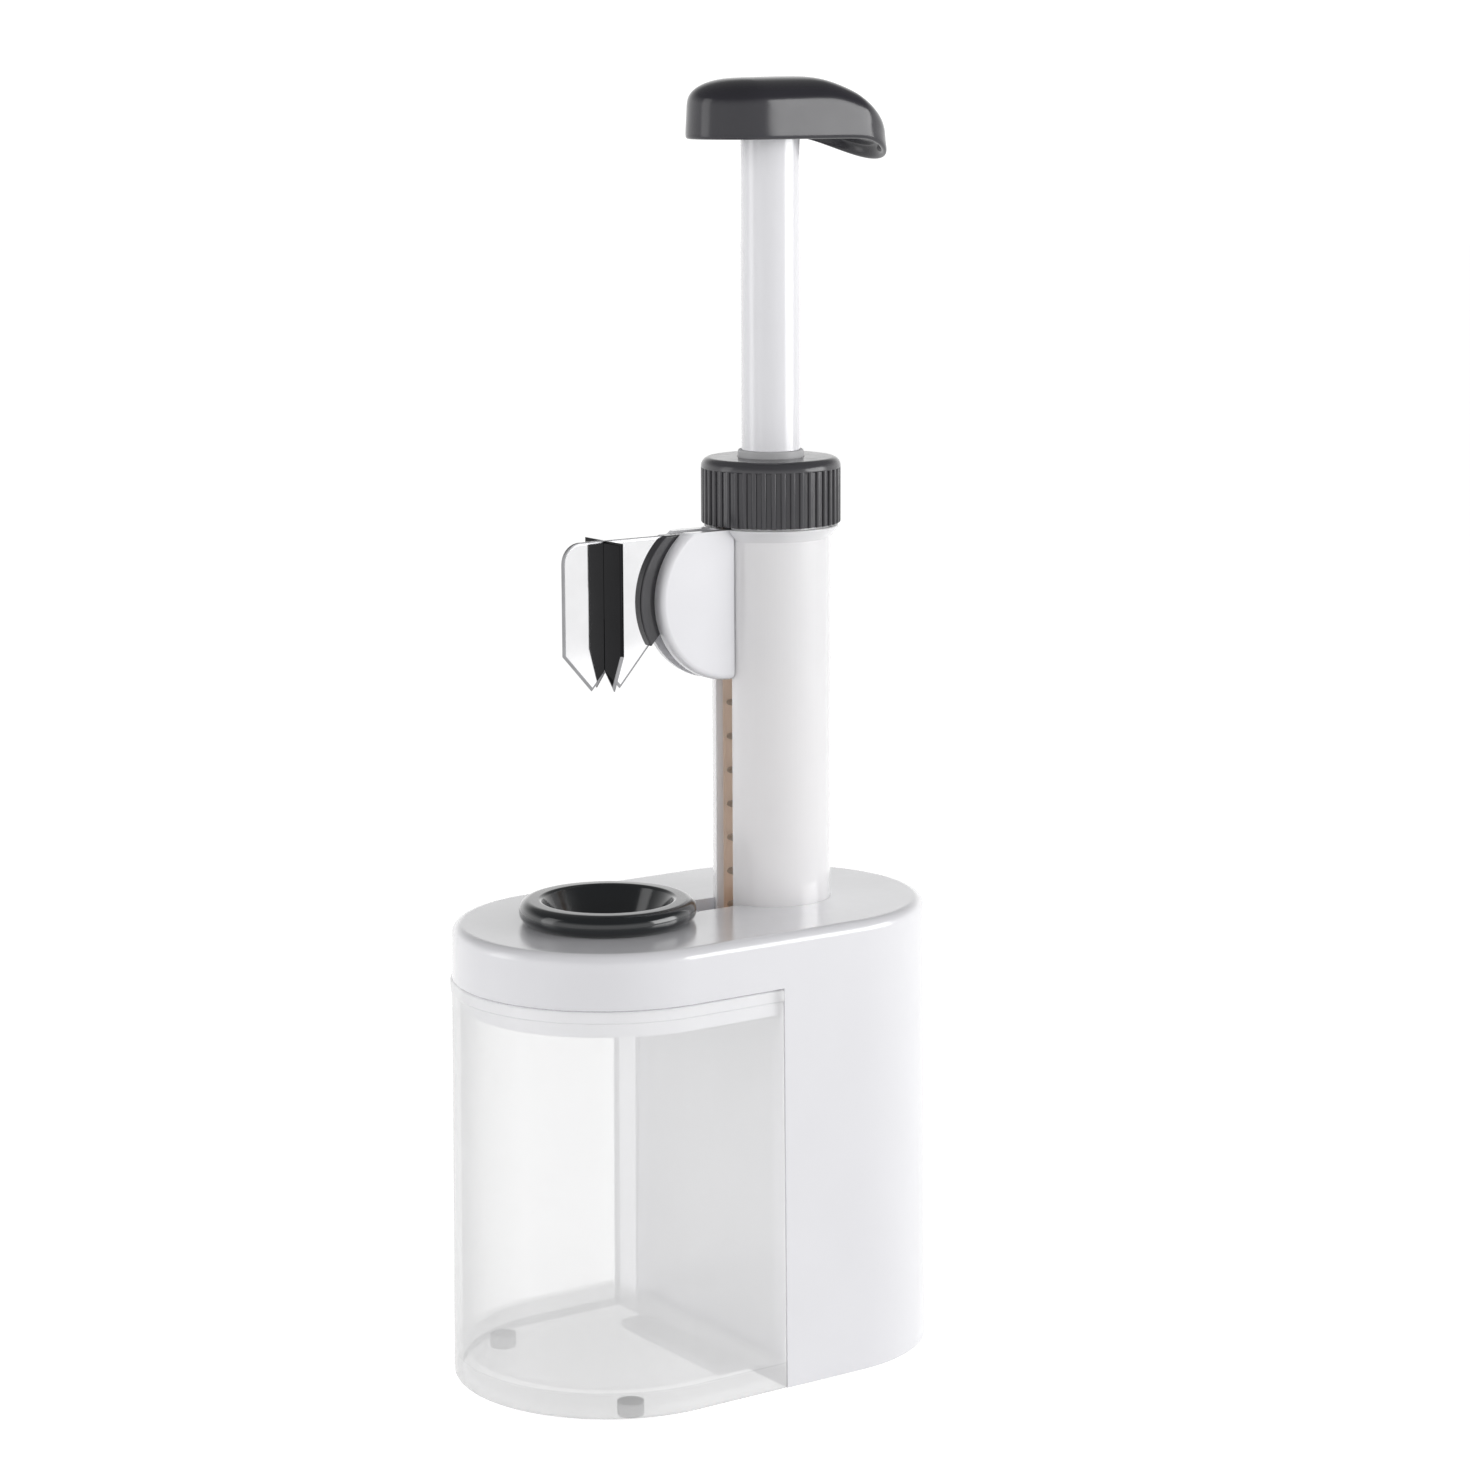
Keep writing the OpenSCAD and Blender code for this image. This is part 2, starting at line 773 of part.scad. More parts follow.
module screw_cap()
    color("dimgray")
        difference() {
            at_column(cap_z)
                rotate_extrude() {
                    square([cap_d / 2, cap_h - cap_round]);
                    square([cap_d / 2 - cap_round, cap_h]);
                    translate([cap_d / 2 - cap_round, cap_h - cap_round])
                        intersection() {
                            circle(cap_round);
                            square(cap_round);
                        }
                }
            at_column(cap_z - over)
                cylinder(d = column_d + 2 * run, h = cap_h - cap_t + over);
            at_column(cap_z)
                cylinder(d = bush_lip_d + 2 * fit, h = cap_h + over);
            for (i = [0 : rib_count - 1])
                at_column(cap_z - over)
                    rotate([0, 0, 360 * i / rib_count])
                        translate([cap_d / 2 - rib_depth, -groove_w / 2, 0])
                            cube([rib_depth + over, groove_w, cap_h - cap_round]);
        }

groove_w = PI * cap_d / rib_count - rib_w;
bush_lip_d = rod_d + 2 * run + 2 * bush_lip;

module rod_bush()
    color("lightgray")
        difference() {
            union() {
                at_column(bush_z)
                    cylinder(d = bore_d - 2 * run, h = column_top + bush_flange - bush_z);
                at_column(column_top)
                    cylinder(d = column_d - 2 * fit, h = bush_flange);
                at_column(column_top)
                    cylinder(d = bush_lip_d, h = bush_flange + cap_t + bush_rise);
            }
            at_column(bush_z - over)
                cylinder(d = rod_d + 2 * run, h = cap_top);
        }

module bumper()
    color("black")
        difference() {
            at_column(slider_top)
                cylinder(d = slider_d - 2 * slide_gap, h = bumper_t);
            at_column(slider_top - over)
                cylinder(d = rod_d + 2 * fit, h = bumper_t + 2 * over);
        }

// Rounded flange with a funnel, on a spigot that passes through the deck
module seat_ring()
    color("black")
        at_seat(deck_z)
            rotate_extrude()
                difference() {
                    rim_r = ring_h / 2;
                    union() {
                        translate([ring_d / 2 - rim_r, rim_r])
                            circle(rim_r);
                        square([ring_d / 2 - rim_r, ring_h]);
                        translate([0, -deck_t - clip_t])
                            square([spigot_d / 2, deck_t + clip_t + over]);
                    }
                    polygon([[-over, -deck_t - clip_t - over], [throat_d / 2, -deck_t - clip_t - over],
                        [throat_d / 2, -deck_t / 2], [ring_d / 2 - ring_h, ring_h],
                        [ring_d / 2 - ring_h, ring_h + over], [-over, ring_h + over]]);
                }

module seat_clip()
    color("dimgray")
        difference() {
            at_seat(deck_z - deck_t - clip_t)
                cylinder(d = spigot_d + 2 * fit + 2 * clip_w, h = clip_t);
            at_seat(deck_z - deck_t - clip_t - over)
                cylinder(d = spigot_d + 2 * fit, h = clip_t + 2 * over);
        }

base_housing();
bottom_plate();
plate_screws();
base_feet();
container();
container_feet();
column();
column_screws();
spring_seat();
return_spring();
carriage();
blade_grip();
long_blade();
cross_blade();
blade_pins();
rod();
rod_pin();
handle_shell();
handle_insert();
handle_pin();
screw_cap();
rod_bush();
bumper();
seat_ring();
seat_clip();
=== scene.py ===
"""Looks of a plum pitter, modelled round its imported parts."""

import json
import math

import bmesh
import bpy
from bpy.props import FloatProperty, FloatVectorProperty, IntProperty, PointerProperty
from mathutils import Matrix, Vector


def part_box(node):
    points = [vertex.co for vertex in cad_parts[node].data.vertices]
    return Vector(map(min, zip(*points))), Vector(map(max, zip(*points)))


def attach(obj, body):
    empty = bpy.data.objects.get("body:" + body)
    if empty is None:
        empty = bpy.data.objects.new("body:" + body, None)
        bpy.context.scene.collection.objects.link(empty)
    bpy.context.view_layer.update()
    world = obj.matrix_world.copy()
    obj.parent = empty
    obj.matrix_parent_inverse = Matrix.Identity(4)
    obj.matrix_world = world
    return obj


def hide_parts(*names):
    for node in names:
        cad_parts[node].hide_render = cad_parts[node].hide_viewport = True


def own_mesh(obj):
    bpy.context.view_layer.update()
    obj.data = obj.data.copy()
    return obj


bl_info = {
    "name": "Plum pitter",
    "version": (1, 0, 0),
    "blender": (4, 5, 0),
    "location": "View3D > Sidebar > Plum pitter",
    "description": "Models the visible pieces of a plum pitter round its packed parts",
    "category": "Object",
}

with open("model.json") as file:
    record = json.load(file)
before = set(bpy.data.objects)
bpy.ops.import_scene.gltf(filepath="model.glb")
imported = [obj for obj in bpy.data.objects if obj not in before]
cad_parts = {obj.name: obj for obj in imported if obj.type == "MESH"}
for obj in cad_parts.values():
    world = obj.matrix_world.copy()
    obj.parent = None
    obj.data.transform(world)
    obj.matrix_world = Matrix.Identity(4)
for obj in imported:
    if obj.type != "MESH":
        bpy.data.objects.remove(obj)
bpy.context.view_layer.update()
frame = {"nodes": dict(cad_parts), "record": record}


def middle(node):
    """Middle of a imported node's box."""
    low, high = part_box(node)
    return (low + high) / 2


SEAT_X = middle("seat_ring").x
COLUMN_X = middle("rod").x
AXIS_GAP = COLUMN_X - SEAT_X
FOOT_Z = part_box("container")[0].z
RIM_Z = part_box("container")[1].z
CONTAINER_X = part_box("container")[1].x
DECK_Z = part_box("base_housing")[1].z
HANDLE_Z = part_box("handle_shell")[0].z
# Cutters reach this far past the faces that they open
OVER = 0.001
# Size of a cutter that takes everything on one side
BEYOND = 0.2
# Points closer than this lie on the same plane
TINY = 0.000001
# Gap between pieces that slide or turn on each other
SLIDE = 0.0001
# Small moulded rounding, and the smallest
FINE, FINEST = 0.0003, 0.0002
# Wall of the ring that clips the seat ring under the deck
CLIP_WALL = 0.003
# Faces that meet at a sharper angle than this keep a visible edge
EDGE_ANGLE = math.radians(35)
# Faces that meet at less than this are one flat face
FLAT_ANGLE = math.radians(0.3)


def length(name, description, default):
    """A size in metres that a user may change."""
    return FloatProperty(
        name=name, description=description, default=default, min=0.0, unit="LENGTH", precision=5
    )


def share(name, description, default):
    """A plain number from 0 to 1 that a user may change."""
    return FloatProperty(
        name=name, description=description, default=default, min=0.0, max=1.0, subtype="FACTOR"
    )


def power(name, description, default):
    """An exponent of 1 or more that a user may change."""
    return FloatProperty(name=name, description=description, default=default, min=1.0)


def colour(name, description, default):
    """A colour that a user may change."""
    return FloatVectorProperty(
        name=name, description=description, default=default, size=3, min=0.0, max=1.0, subtype="COLOR"
    )


class HousingSizes(bpy.types.PropertyGroup):
    """Sizes of the housing, its cover and the container."""

    radius: length("Radius", "Plan radius of the round ends at the deck", 0.038)
    draft: length("Draft", "Extra plan radius at the foot", 0.00118)
    wall: length("Wall", "Thickness of the housing's wall", 0.0024)
    deck: length("Deck", "Thickness of the deck", 0.003)
    deck_edge: length("Deck edge", "Rounding of the deck's edge", 0.0027)
    foot_edge: length("Foot edge", "Rounding of the container's foot", 0.0008)
    rim_edge: length("Rim edge", "Rounding of the container's rim", 0.0005)
    floor_edge: length("Floor edge", "Rounding round the container's floor", 0.0015)
    gap: length("Gap", "Gap between the housing and the container", 0.00025)
    skirt: length("Skirt", "Depth of the skirt inside the container", 0.007)
    skirt_set: length("Skirt set", "Distance of the skirt from the outer wall", 0.0022)
    partition_set: length("Partition set", "Distance of the partition behind the joint", 0.0054)
    slot_width: length("Slot width", "Width of the relief slot in the deck", 0.0108)
    slot_depth: length("Slot depth", "Depth of the relief slot", 0.006)
    socket_wall: length("Socket wall", "Wall of the column's socket", 0.0024)
    socket_low: length("Socket low", "Height of the socket's lower end", 0.0663)
    container_wall: length("Container wall", "Wall of the container", 0.002)
    container_low: length("Container low", "Height of the underside of the container's floor", 0.0032)
    container_floor: length("Container floor", "Thickness of the container's floor", 0.004)
    low_wall: length("Low wall", "Height of the container's low wall", 0.0932)
    bead: length("Bead", "Height of the bead round the container's rim", 0.003)
    bead_out: length("Bead out", "How far that bead stands out", 0.0004)
    soft_edge: length("Soft edge", "Rounding of the moulded edges", 0.0004)


class ColumnSizes(bpy.types.PropertyGroup):
    """Sizes of the column, the rod, the cap and the spring."""

    radius: length("Radius", "Outer radius of the column", 0.0147)
    wall: length("Wall", "Wall of the column", 0.0022)
    flare: length("Flare", "Height of the flare under the cap", 0.003)
    carriage_room: length("Carriage room", "Gap between the column and the carriage", 0.0004)
    rod_edge: length("Rod edge", "Rounding of the ends of rod and slider", 0.0005)
    slot: length("Slot", "Width of the column's slot", 0.007)
    cap_bore: length("Cap bore", "Radius of the cap's bore", 0.0148)
    cap_top: length("Cap top", "Thickness of the cap's top", 0.003)
    cap_round: length("Cap rounding", "Rounding of the cap's upper edge", 0.0026)
    rib_depth: length("Rib depth", "How far the cap's ribs stand out", 0.0006)
    rib_width: length("Rib width", "Width of a rib of the cap", 0.0013)
    rib_edge: length("Rib edge", "Rounding of a rib's outer edges", 0.00045)
    rib_root: length("Rib root", "How far a rib goes into the cap", 0.0004)
    rib_count: IntProperty(name="Ribs", description="Number of ribs round the cap", default=44, min=12)
    bush_wall: length("Bush wall", "Wall of the bush's lip", 0.0008)
    bush_flange: length("Bush flange", "Thickness of the bush's flange", 0.0025)
    wire: length("Wire", "Diameter of the spring's wire", 0.0014)
    turns: FloatProperty(name="Turns", description="Turns of the spring", default=11.5, min=3.0)


class CarriageSizes(bpy.types.PropertyGroup):
    """Sizes of the carriage and the blades."""

    cheek_radius: length("Cheek radius", "Radius of the round cheeks", 0.0206)
    cheek_half: length("Cheek half", "Half of the thickness over both cheeks", 0.0048)
    cheek_end: length("Cheek end", "Distance from the cheeks' centre to their straight side", 0.009)
    cheek_round: length("Cheek rounding", "Rounding of the cheeks' outer edges", 0.0017)
    grip_room: length("Grip room", "Width of the gap between the cheeks", 0.004)
    neck: length("Neck", "Width of the neck in the column's slot", 0.0062)
    grip_round: length("Grip rounding", "Rounding of the blade grip's edge", 0.0017)
    cut_height: length("Cut height", "Height of the slanted cutting edges", 0.009)
    tip: length("Tip", "Half distance between a blade's tips", 0.004)
    notch: length("Notch", "Depth of the notch between the tips", 0.0044)
    lap: length("Lap", "Depth of the lap where the blades cross", 0.0188)
    lap_width: length("Lap width", "Width of the slots where the blades cross", 0.0012)
    corner: length("Corner", "Corner radius of the long blade", 0.005)
    grind: length("Grind", "Width of the ground edge", 0.0007)
    edge_share: share("Edge share", "Thickness of the ground edge as a share of the blade's", 0.3)


class HandleSizes(bpy.types.PropertyGroup):
    """Sizes of the handle."""

    near_radius: length("Near radius", "Plan radius of the end over the blades", 0.0136)
    far_radius: length("Far radius", "Plan radius of the far end", 0.0148)
    side: length("Side", "Height of the upright side", 0.0082)
    fall: length("Fall", "How far the crown falls at the far end", 0.0101)
    fall_bend: power("Fall bend", "How late the crown falls", 1.5)
    crown_bend: share("Crown bend", "How square the crown's shoulder is; 1 is round", 0.72)
    side_lean: length("Side lean", "How far the side leans in towards its top", 0.0003)
    crown_in: length("Crown in", "How far the crown draws in", 0.0115)
    crest_x: length("Crest", "Distance from the rod to where the crown falls", 0.009)
    tilt: length("Tilt", "How much lower the crown is over the blades", 0.0008)
    rim: length("Rim", "Width of the shell's lower rim", 0.0015)
    rim_top: length("Rim top", "Height of that rim's rounding", 0.0012)
    ring_step: length("Ring step", "Distance between the rings that hold the crown's bend", 0.004)
    lip_drop: length("Lip drop", "Depth of the lip at the far end", 0.0059)
    lip_reach: length("Lip reach", "Length of that lip", 0.015)
    lip_bend: power("Lip bend", "How late the lip turns down", 1.7)


class Finishes(bpy.types.PropertyGroup):
    """Colours of the finishes."""

    white: colour("White plastic", "Glossy white plastic", (0.84, 0.838, 0.868))
    column: colour("Column", "Translucent white of the column", (0.93, 0.928, 0.955))
    # Painted shade: the beige of the column's bore, where the white plastic lies in shade
    inside: colour("Column inside", "Warm tone of the column's bore", (0.95, 0.82, 0.7))
    # Painted light: a glow in the bore that stands in for light coming through the column's wall
    painted_bore_glow: colour("Warm light", "Light through the column's wall into its bore", (0.09, 0.066, 0.052))
    # Painted light: how strongly the wall's inner face glows beside the partition
    painted_wall_glow: share("Thin wall", "Light through the housing's wall beside the partition", 0.4)
    milky: colour("Milky plastic", "Milky plastic of the container", (0.95, 0.95, 0.955))
    # Painted light: the milky plastic's glow, strongest where a face turns to the camera
    milky_painted_glow: share("Milky light", "Light that the milky plastic scatters from all round", 0.23)
    milky_cover: share("Milky cover", "How much the milky plastic's outer face hides", 0.4)
    milky_inside: share("Milky inside", "How much its inner face hides", 0.05)
    milky_edge: share("Milky edge", "How much a face hides where it is seen edge on", 0.8)
    milky_foot: share("Milky foot", "How much a face hides along the thick foot", 0.5)
    dark: colour("Dark plastic", "Dark grey satin plastic", (0.055, 0.054, 0.06))
    handle: colour("Handle plastic", "Darker satin plastic of the handle", (0.026, 0.025, 0.032))
    light: colour("Light plastic", "Light grey plastic", (0.5, 0.5, 0.51))
    black: colour("Black plastic", "Glossy black plastic", (0.004, 0.006, 0.008))
    mirror: colour("Mirror steel", "Polished steel of the long blade", (0.86, 0.86, 0.87))
    ground: colour("Ground edge", "Ground edges of the blades", (0.34, 0.34, 0.35))
    # Painted reflection: steel painted nearly black, standing in for the dark surroundings the cross
    # blade reflects
    dark_steel: colour("Dark steel", "Dark polished steel of the cross blade", (0.012, 0.012, 0.013))
    steel: colour("Steel", "Plain steel of wire, pins and screws", (0.5, 0.49, 0.47))
    rubber: colour("Rubber", "Dark rubber", (0.03, 0.03, 0.032))


GROUPS = {
    "pitter_housing": HousingSizes,
    "pitter_column": ColumnSizes,
    "pitter_carriage": CarriageSizes,
    "pitter_handle": HandleSizes,
    "pitter_finishes": Finishes,
}


def select_only(obj):
    """Leaves just this object selected and active, in object mode."""
    if bpy.context.mode != "OBJECT":
        bpy.ops.object.mode_set(mode="OBJECT")
    bpy.ops.object.select_all(action="DESELECT")
    obj.select_set(True)
    bpy.context.view_layer.objects.active = obj


def open_mesh(obj):
    """Opens an object in edit mode with all of it selected."""
    select_only(obj)
    bpy.ops.object.mode_set(mode="EDIT")
    bpy.ops.mesh.select_mode(type="VERT")
    bpy.ops.mesh.select_all(action="SELECT")


def close_mesh():
    """Leaves edit mode with all faces pointing outwards."""
    bpy.ops.mesh.select_all(action="SELECT")
    bpy.ops.mesh.normals_make_consistent(inside=False)
    bpy.ops.object.mode_set(mode="OBJECT")
    return bpy.context.object


def pick(test, kind="VERT"):
    """In edit mode, selects each vertex, edge or face of which every corner passes the test."""
    bpy.ops.mesh.select_mode(type=kind)
    bpy.ops.mesh.select_all(action="DESELECT")
    mesh = bmesh.from_edit_mesh(bpy.context.object.data)
    items = {"VERT": mesh.verts, "EDGE": mesh.edges, "FACE": mesh.faces}[kind]
    for item in items:
        corners = [item] if kind == "VERT" else item.verts
        item.select_set(all(test(v.co) for v in corners))
    mesh.select_flush_mode()
    bmesh.update_edit_mesh(bpy.context.object.data)


def pick_open_edges():
    """In edit mode, selects the edges of open ends."""
    bpy.ops.mesh.select_mode(type="EDGE")
    bpy.ops.mesh.select_all(action="DESELECT")
    bpy.ops.mesh.select_non_manifold()


def fix_place():
    """Moves the selected object's place, turn and scale into its mesh."""
    bpy.ops.object.transform_apply(location=True, rotation=True, scale=True)


def begin(add, **options):
    """Adds a primitive with nothing else selected, its place in its mesh."""
    bpy.ops.object.select_all(action="DESELECT")
    add(**options)
    fix_place()
    return bpy.context.object


def modify(obj, kind, **settings):
    """Adds a modifier with these settings and applies it."""
    select_only(obj)
    bpy.ops.object.modifier_add(type=kind)
    modifier = obj.modifiers[-1]
    for name, value in settings.items():
        setattr(modifier, name, value)
    bpy.ops.object.modifier_apply(modifier=modifier.name)
    return obj


def shift(amount):
    """Moves what is selected."""
    bpy.ops.transform.translate(value=amount)


def extrude(step):
    """Extrudes what is selected by a step."""
    bpy.ops.mesh.extrude_region_move(TRANSFORM_OT_translate={"value": step})


def soften(corners, steps=5):
    """Rounds a profile of (radius, height, rounding); a corner with no rounding number only guides."""
    points = []
    count = len(corners)
    for i, (r, z, rounding) in enumerate(corners):
        if rounding is None:
            continue
        here = Vector((r, z))
        if rounding == 0:
            points.append((r, z))
            continue
        before = (Vector(corners[i - 1][:2]) - here).normalized()
        after = (Vector(corners[(i + 1) % count][:2]) - here).normalized()
        bend = before.angle(after) / 2
        centre = here + (before + after).normalized() * rounding / math.sin(bend)
        first = here + before * rounding / math.tan(bend) - centre
        last = here + after * rounding / math.tan(bend) - centre
        sweep = math.pi - 2 * bend
        for k in range(steps + 1):
            a, b = math.sin(sweep * (1 - k / steps)), math.sin(sweep * k / steps)
            points.append(tuple(centre + (first * a + last * b) / math.sin(sweep)))
    return points


def lathe(profile, x, sides=96, reach=0.0, hollow=False):
    """Raises a profile of (radius, height) ring by ring round the upright axis at x.

    With a reach, the far half is drawn out to a second axis. A hollow profile goes
    round to its own start and leaves the middle open.
    """
    radius, height = profile[0]
    ring = begin(
        bpy.ops.mesh.primitive_circle_add,
        vertices=sides,
        radius=radius,
        fill_type="NOTHING" if hollow else "NGON",
        location=(x, 0, height),
        rotation=(0, 0, math.pi / sides),
    )
    open_mesh(ring)
    for (r0, z0), (r1, z1) in zip(profile, profile[1:]):
        extrude((0, 0, z1 - z0))
        bpy.ops.transform.resize(value=(r1 / r0, r1 / r0, 1), center_override=(x, 0, z1))
    if hollow:
        pick_open_edges()
        bpy.ops.mesh.bridge_edge_loops()
    if reach:
        pick(lambda p: p.x > x)
        shift((reach, 0, 0))
    return close_mesh()


def plate(outline, thickness):
    """Upright plate of an outline drawn in X and Z, with its middle on Y = 0."""
    x, z = outline[0]
    corner = (x, -thickness / 2, z)
    open_mesh(begin(bpy.ops.mesh.primitive_plane_add, size=thickness, location=corner))
    bpy.ops.mesh.merge(type="CENTER")
    for (x0, z0), (x1, z1) in zip(outline, outline[1:]):
        extrude((x1 - x0, 0, z1 - z0))
    bpy.ops.mesh.select_all(action="SELECT")
    bpy.ops.mesh.edge_face_add()
    extrude((0, thickness, 0))
    return close_mesh()


def block(low, high):
    """Box between two corners."""
    low, high = Vector(low), Vector(high)
    centre, size = (low + high) / 2, high - low
    return begin(bpy.ops.mesh.primitive_cube_add, size=1, location=centre, scale=size)


def combine(obj, other, operation):
    """Cuts another solid out of this one, or adds it, and uses it up."""
    modify(obj, "BOOLEAN", operation=operation, solver="EXACT", object=other)
    bpy.data.objects.remove(other, do_unlink=True)
    return obj


def cut(obj, other):
    """Cuts another solid out of this one."""
    return combine(obj, other, "DIFFERENCE")


def half(obj, x, left):
    """Keeps what lies left or right of an upright plane across the base."""
    open_mesh(obj)
    bpy.ops.mesh.bisect(
        plane_co=(x, 0, 0), plane_no=(1, 0, 0), use_fill=True, clear_outer=left, clear_inner=not left
    )
    return close_mesh()


def round_edges(obj, width, segments=2):
    """Merges flat faces, rounds every sharp edge and closes hairline gaps."""
    open_mesh(obj)
    bpy.ops.mesh.dissolve_limited(angle_limit=FLAT_ANGLE)
    close_mesh()
    modify(obj, "BEVEL", width=width, segments=segments, limit_method="ANGLE", angle_limit=EDGE_ANGLE)
    open_mesh(obj)
    bpy.ops.mesh.fill_holes(sides=4)
    bpy.ops.object.mode_set(mode="OBJECT")
    return obj


def subdivide(obj, levels):
    """Smooths a coarse form with a subdivision surface."""
    return modify(obj, "SUBSURF", levels=levels, render_levels=levels)


def slot_of(node):
    """Material slot that the record gives a node."""
    return next(s["material_slot"] for s in frame["record"]["subparts"] if s["node"] == node)


def hand_in(obj, name, body, node, finish=None):
    """Names a finished piece, shades and paints it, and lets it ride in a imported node's place."""
    select_only(obj)
    fix_place()
    bpy.ops.object.shade_smooth_by_angle(angle=EDGE_ANGLE)
    modify(obj, "WEIGHTED_NORMAL", keep_sharp=True)
    obj.name = name
    obj.data.name = name
    slot = slot_of(node)
    obj.data.materials.clear()
    obj.data.materials.append(finish or finish_for(slot))
    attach(obj, body)
    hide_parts(node)
    return obj


class Recipe:
    """Builds one procedural material on Object coordinates."""

    def __init__(self, name):
        self.material = bpy.data.materials.new(name)
        self.material.use_nodes = True
        self.nodes = self.material.node_tree.nodes
        self.links = self.material.node_tree.links
        self.shader = self.nodes["Principled BSDF"]
        self.place = self.nodes.new("ShaderNodeTexCoord").outputs["Object"]

    def set(self, **values):
        """Sets plain numbers and colours on the shader."""
        for name, value in values.items():
            title = name.replace("_", " ").title().replace("Ior", "IOR")
            self.shader.inputs[title].default_value = value
        return self

    def link(self, output, target):
        """Links an output to one of the shader's inputs."""
        self.links.new(output, self.shader.inputs[target])

    def noise(self, scale, stretch=(1, 1, 1), detail=3.0):
        """Noise with so many waves a metre, stretched along the axes."""
        mapping = self.nodes.new("ShaderNodeMapping")
        mapping.inputs["Scale"].default_value = stretch
        self.links.new(self.place, mapping.inputs["Vector"])
        noise = self.nodes.new("ShaderNodeTexNoise")
        noise.inputs["Scale"].default_value = scale
        noise.inputs["Detail"].default_value = detail
        self.links.new(mapping.outputs["Vector"], noise.inputs["Vector"])
        return noise.outputs["Fac"]

    def spread(self, source, low, high):
        """Maps the middle of a noise to a range of values."""
        return self.ramp(source, 0.3, 0.7, low, high)

    def along(self, axis):
        """Place along one axis."""
        split = self.nodes.new("ShaderNodeSeparateXYZ")
        self.links.new(self.place, split.inputs["Vector"])
        return split.outputs[axis]

    def ramp(self, source, start, end, low, high):
        """Value that goes from low to high between two places."""
        node = self.nodes.new("ShaderNodeMapRange")
        for name, value in (("From Min", start), ("From Max", end), ("To Min", low), ("To Max", high)):
            node.inputs[name].default_value = value
        self.links.new(source, node.inputs["Value"])
        return node.outputs["Result"]

    def number(self, operation, first, second=None):
        """Sum on one or two values, each an output or a plain number."""
        node = self.nodes.new("ShaderNodeMath")
        node.operation = operation
        for socket, value in zip(node.inputs, (first, second)):
            if isinstance(value, bpy.types.NodeSocket):
                self.links.new(value, socket)
            elif value is not None:
                socket.default_value = value
        return node.outputs["Value"]

    def off_plane(self, axis, place):
        """Distance from a plane across an axis."""
        return self.number("ABSOLUTE", self.number("SUBTRACT", self.along(axis), place))

    def from_axis(self, x, endless=False):
        """Distance in plan from the upright axis at x; an endless one is drawn out along X."""
        past = self.number("SUBTRACT", self.along("X"), x)
        if endless:
            past = self.number("MINIMUM", past, 0.0)
        squares = [self.number("POWER", side, 2.0) for side in (past, self.along("Y"))]
        return self.number("SQRT", self.number("ADD", *squares))

    def blend(self, factor, first, second):
        """Mixes two colours or colour outputs by a factor."""
        node = self.nodes.new("ShaderNodeMix")
        node.data_type = "RGBA"
        self.links.new(factor, node.inputs["Factor"])
        for socket, value in ((node.inputs[6], first), (node.inputs[7], second)):
            if isinstance(value, bpy.types.NodeSocket):
                self.links.new(value, socket)
            else:
                socket.default_value = (*value, 1)
        return node.outputs[2]

    def tone(self, base, scale, depth):
        """Colour with faint cloudy changes of tone."""
        darker = tuple(c * (1 - depth) for c in base)
        return self.blend(self.spread(self.noise(scale), 0, 1), darker, base)

    def bump(self, source, distance):
        """Raises the surface by a pattern."""
        node = self.nodes.new("ShaderNodeBump")
        node.inputs["Distance"].default_value = distance
        node.inputs["Strength"].default_value = 1.0
        self.links.new(source, node.inputs["Height"])
        self.link(node.outputs["Normal"], "Normal")

    def glow(self, tint, strength):
        """Paints light on the surface as a faint glow, though the surface is no lamp."""
        self.shader.inputs["Emission Color"].default_value = (*tint, 1)
        self.link(strength, "Emission Strength")
        self.material.cycles.emission_sampling = "NONE"

    def mid_wall(self, wall):
        """Plan radius of the middle of the base's drafted wall, at any height."""
        low, high = base_radius(FOOT_Z, wall / 2), base_radius(DECK_Z, wall / 2)
        return self.ramp(self.along("Z"), FOOT_Z, DECK_Z, low, high)

    def in_wall(self, wall):
        """Distance in plan from the base's long axis, and that of the middle of its wall."""
        return self.from_axis(SEAT_X, endless=True), self.mid_wall(wall)


# Waves a metre of the clouds of tone in moulded plastic
CLOUDS = 45


def moulded(name, base, rough, depth, grain, relief):
    """Moulded plastic: cloudy tone, uneven gloss and a fine skin."""
    recipe = Recipe(name)
    recipe.link(recipe.tone(tuple(base), CLOUDS, depth), "Base Color")
    recipe.link(recipe.spread(recipe.noise(160, detail=5), *rough), "Roughness")
    recipe.bump(recipe.noise(grain, detail=2), relief)
    return recipe


def satin_finish(name, base):
    """Dark satin plastic."""
    return moulded(name, base, rough=(0.14, 0.21), depth=0.08, grain=2600, relief=0.000003).material


def white_recipe(name):
    """Glossy white plastic."""
    paint = bpy.context.scene.pitter_finishes
    recipe = moulded(name, paint.white, rough=(0.16, 0.24), depth=0.02, grain=500, relief=0.000001)
    recipe.set(coat_weight=1.0, coat_roughness=0.17)
    return recipe


def column_painted_bore(inner):
    """White plastic whose bore, inside the inner radius, has a painted beige shade and a painted glow.
    """
    paint = bpy.context.scene.pitter_finishes
    recipe = white_recipe("white_column_painted_bore")
    outer = recipe.tone(tuple(paint.column), CLOUDS, 0.02)
    # Painted shade in the bore
    bore = recipe.tone(tuple(paint.inside), 60, 0.06)
    bore_edge = 0.0004
    edge = recipe.ramp(recipe.from_axis(COLUMN_X), inner, inner + bore_edge, 0, 1)
    recipe.link(recipe.blend(edge, bore, outer), "Base Color")
    recipe.set(subsurface_weight=0.4, subsurface_scale=0.012, subsurface_radius=(1.0, 1.0, 1.0))
    # Painted glow in the bore, standing in for light through the wall
    recipe.glow(paint.painted_bore_glow, recipe.ramp(edge, 0, 1, 1, 0))
    return recipe.material


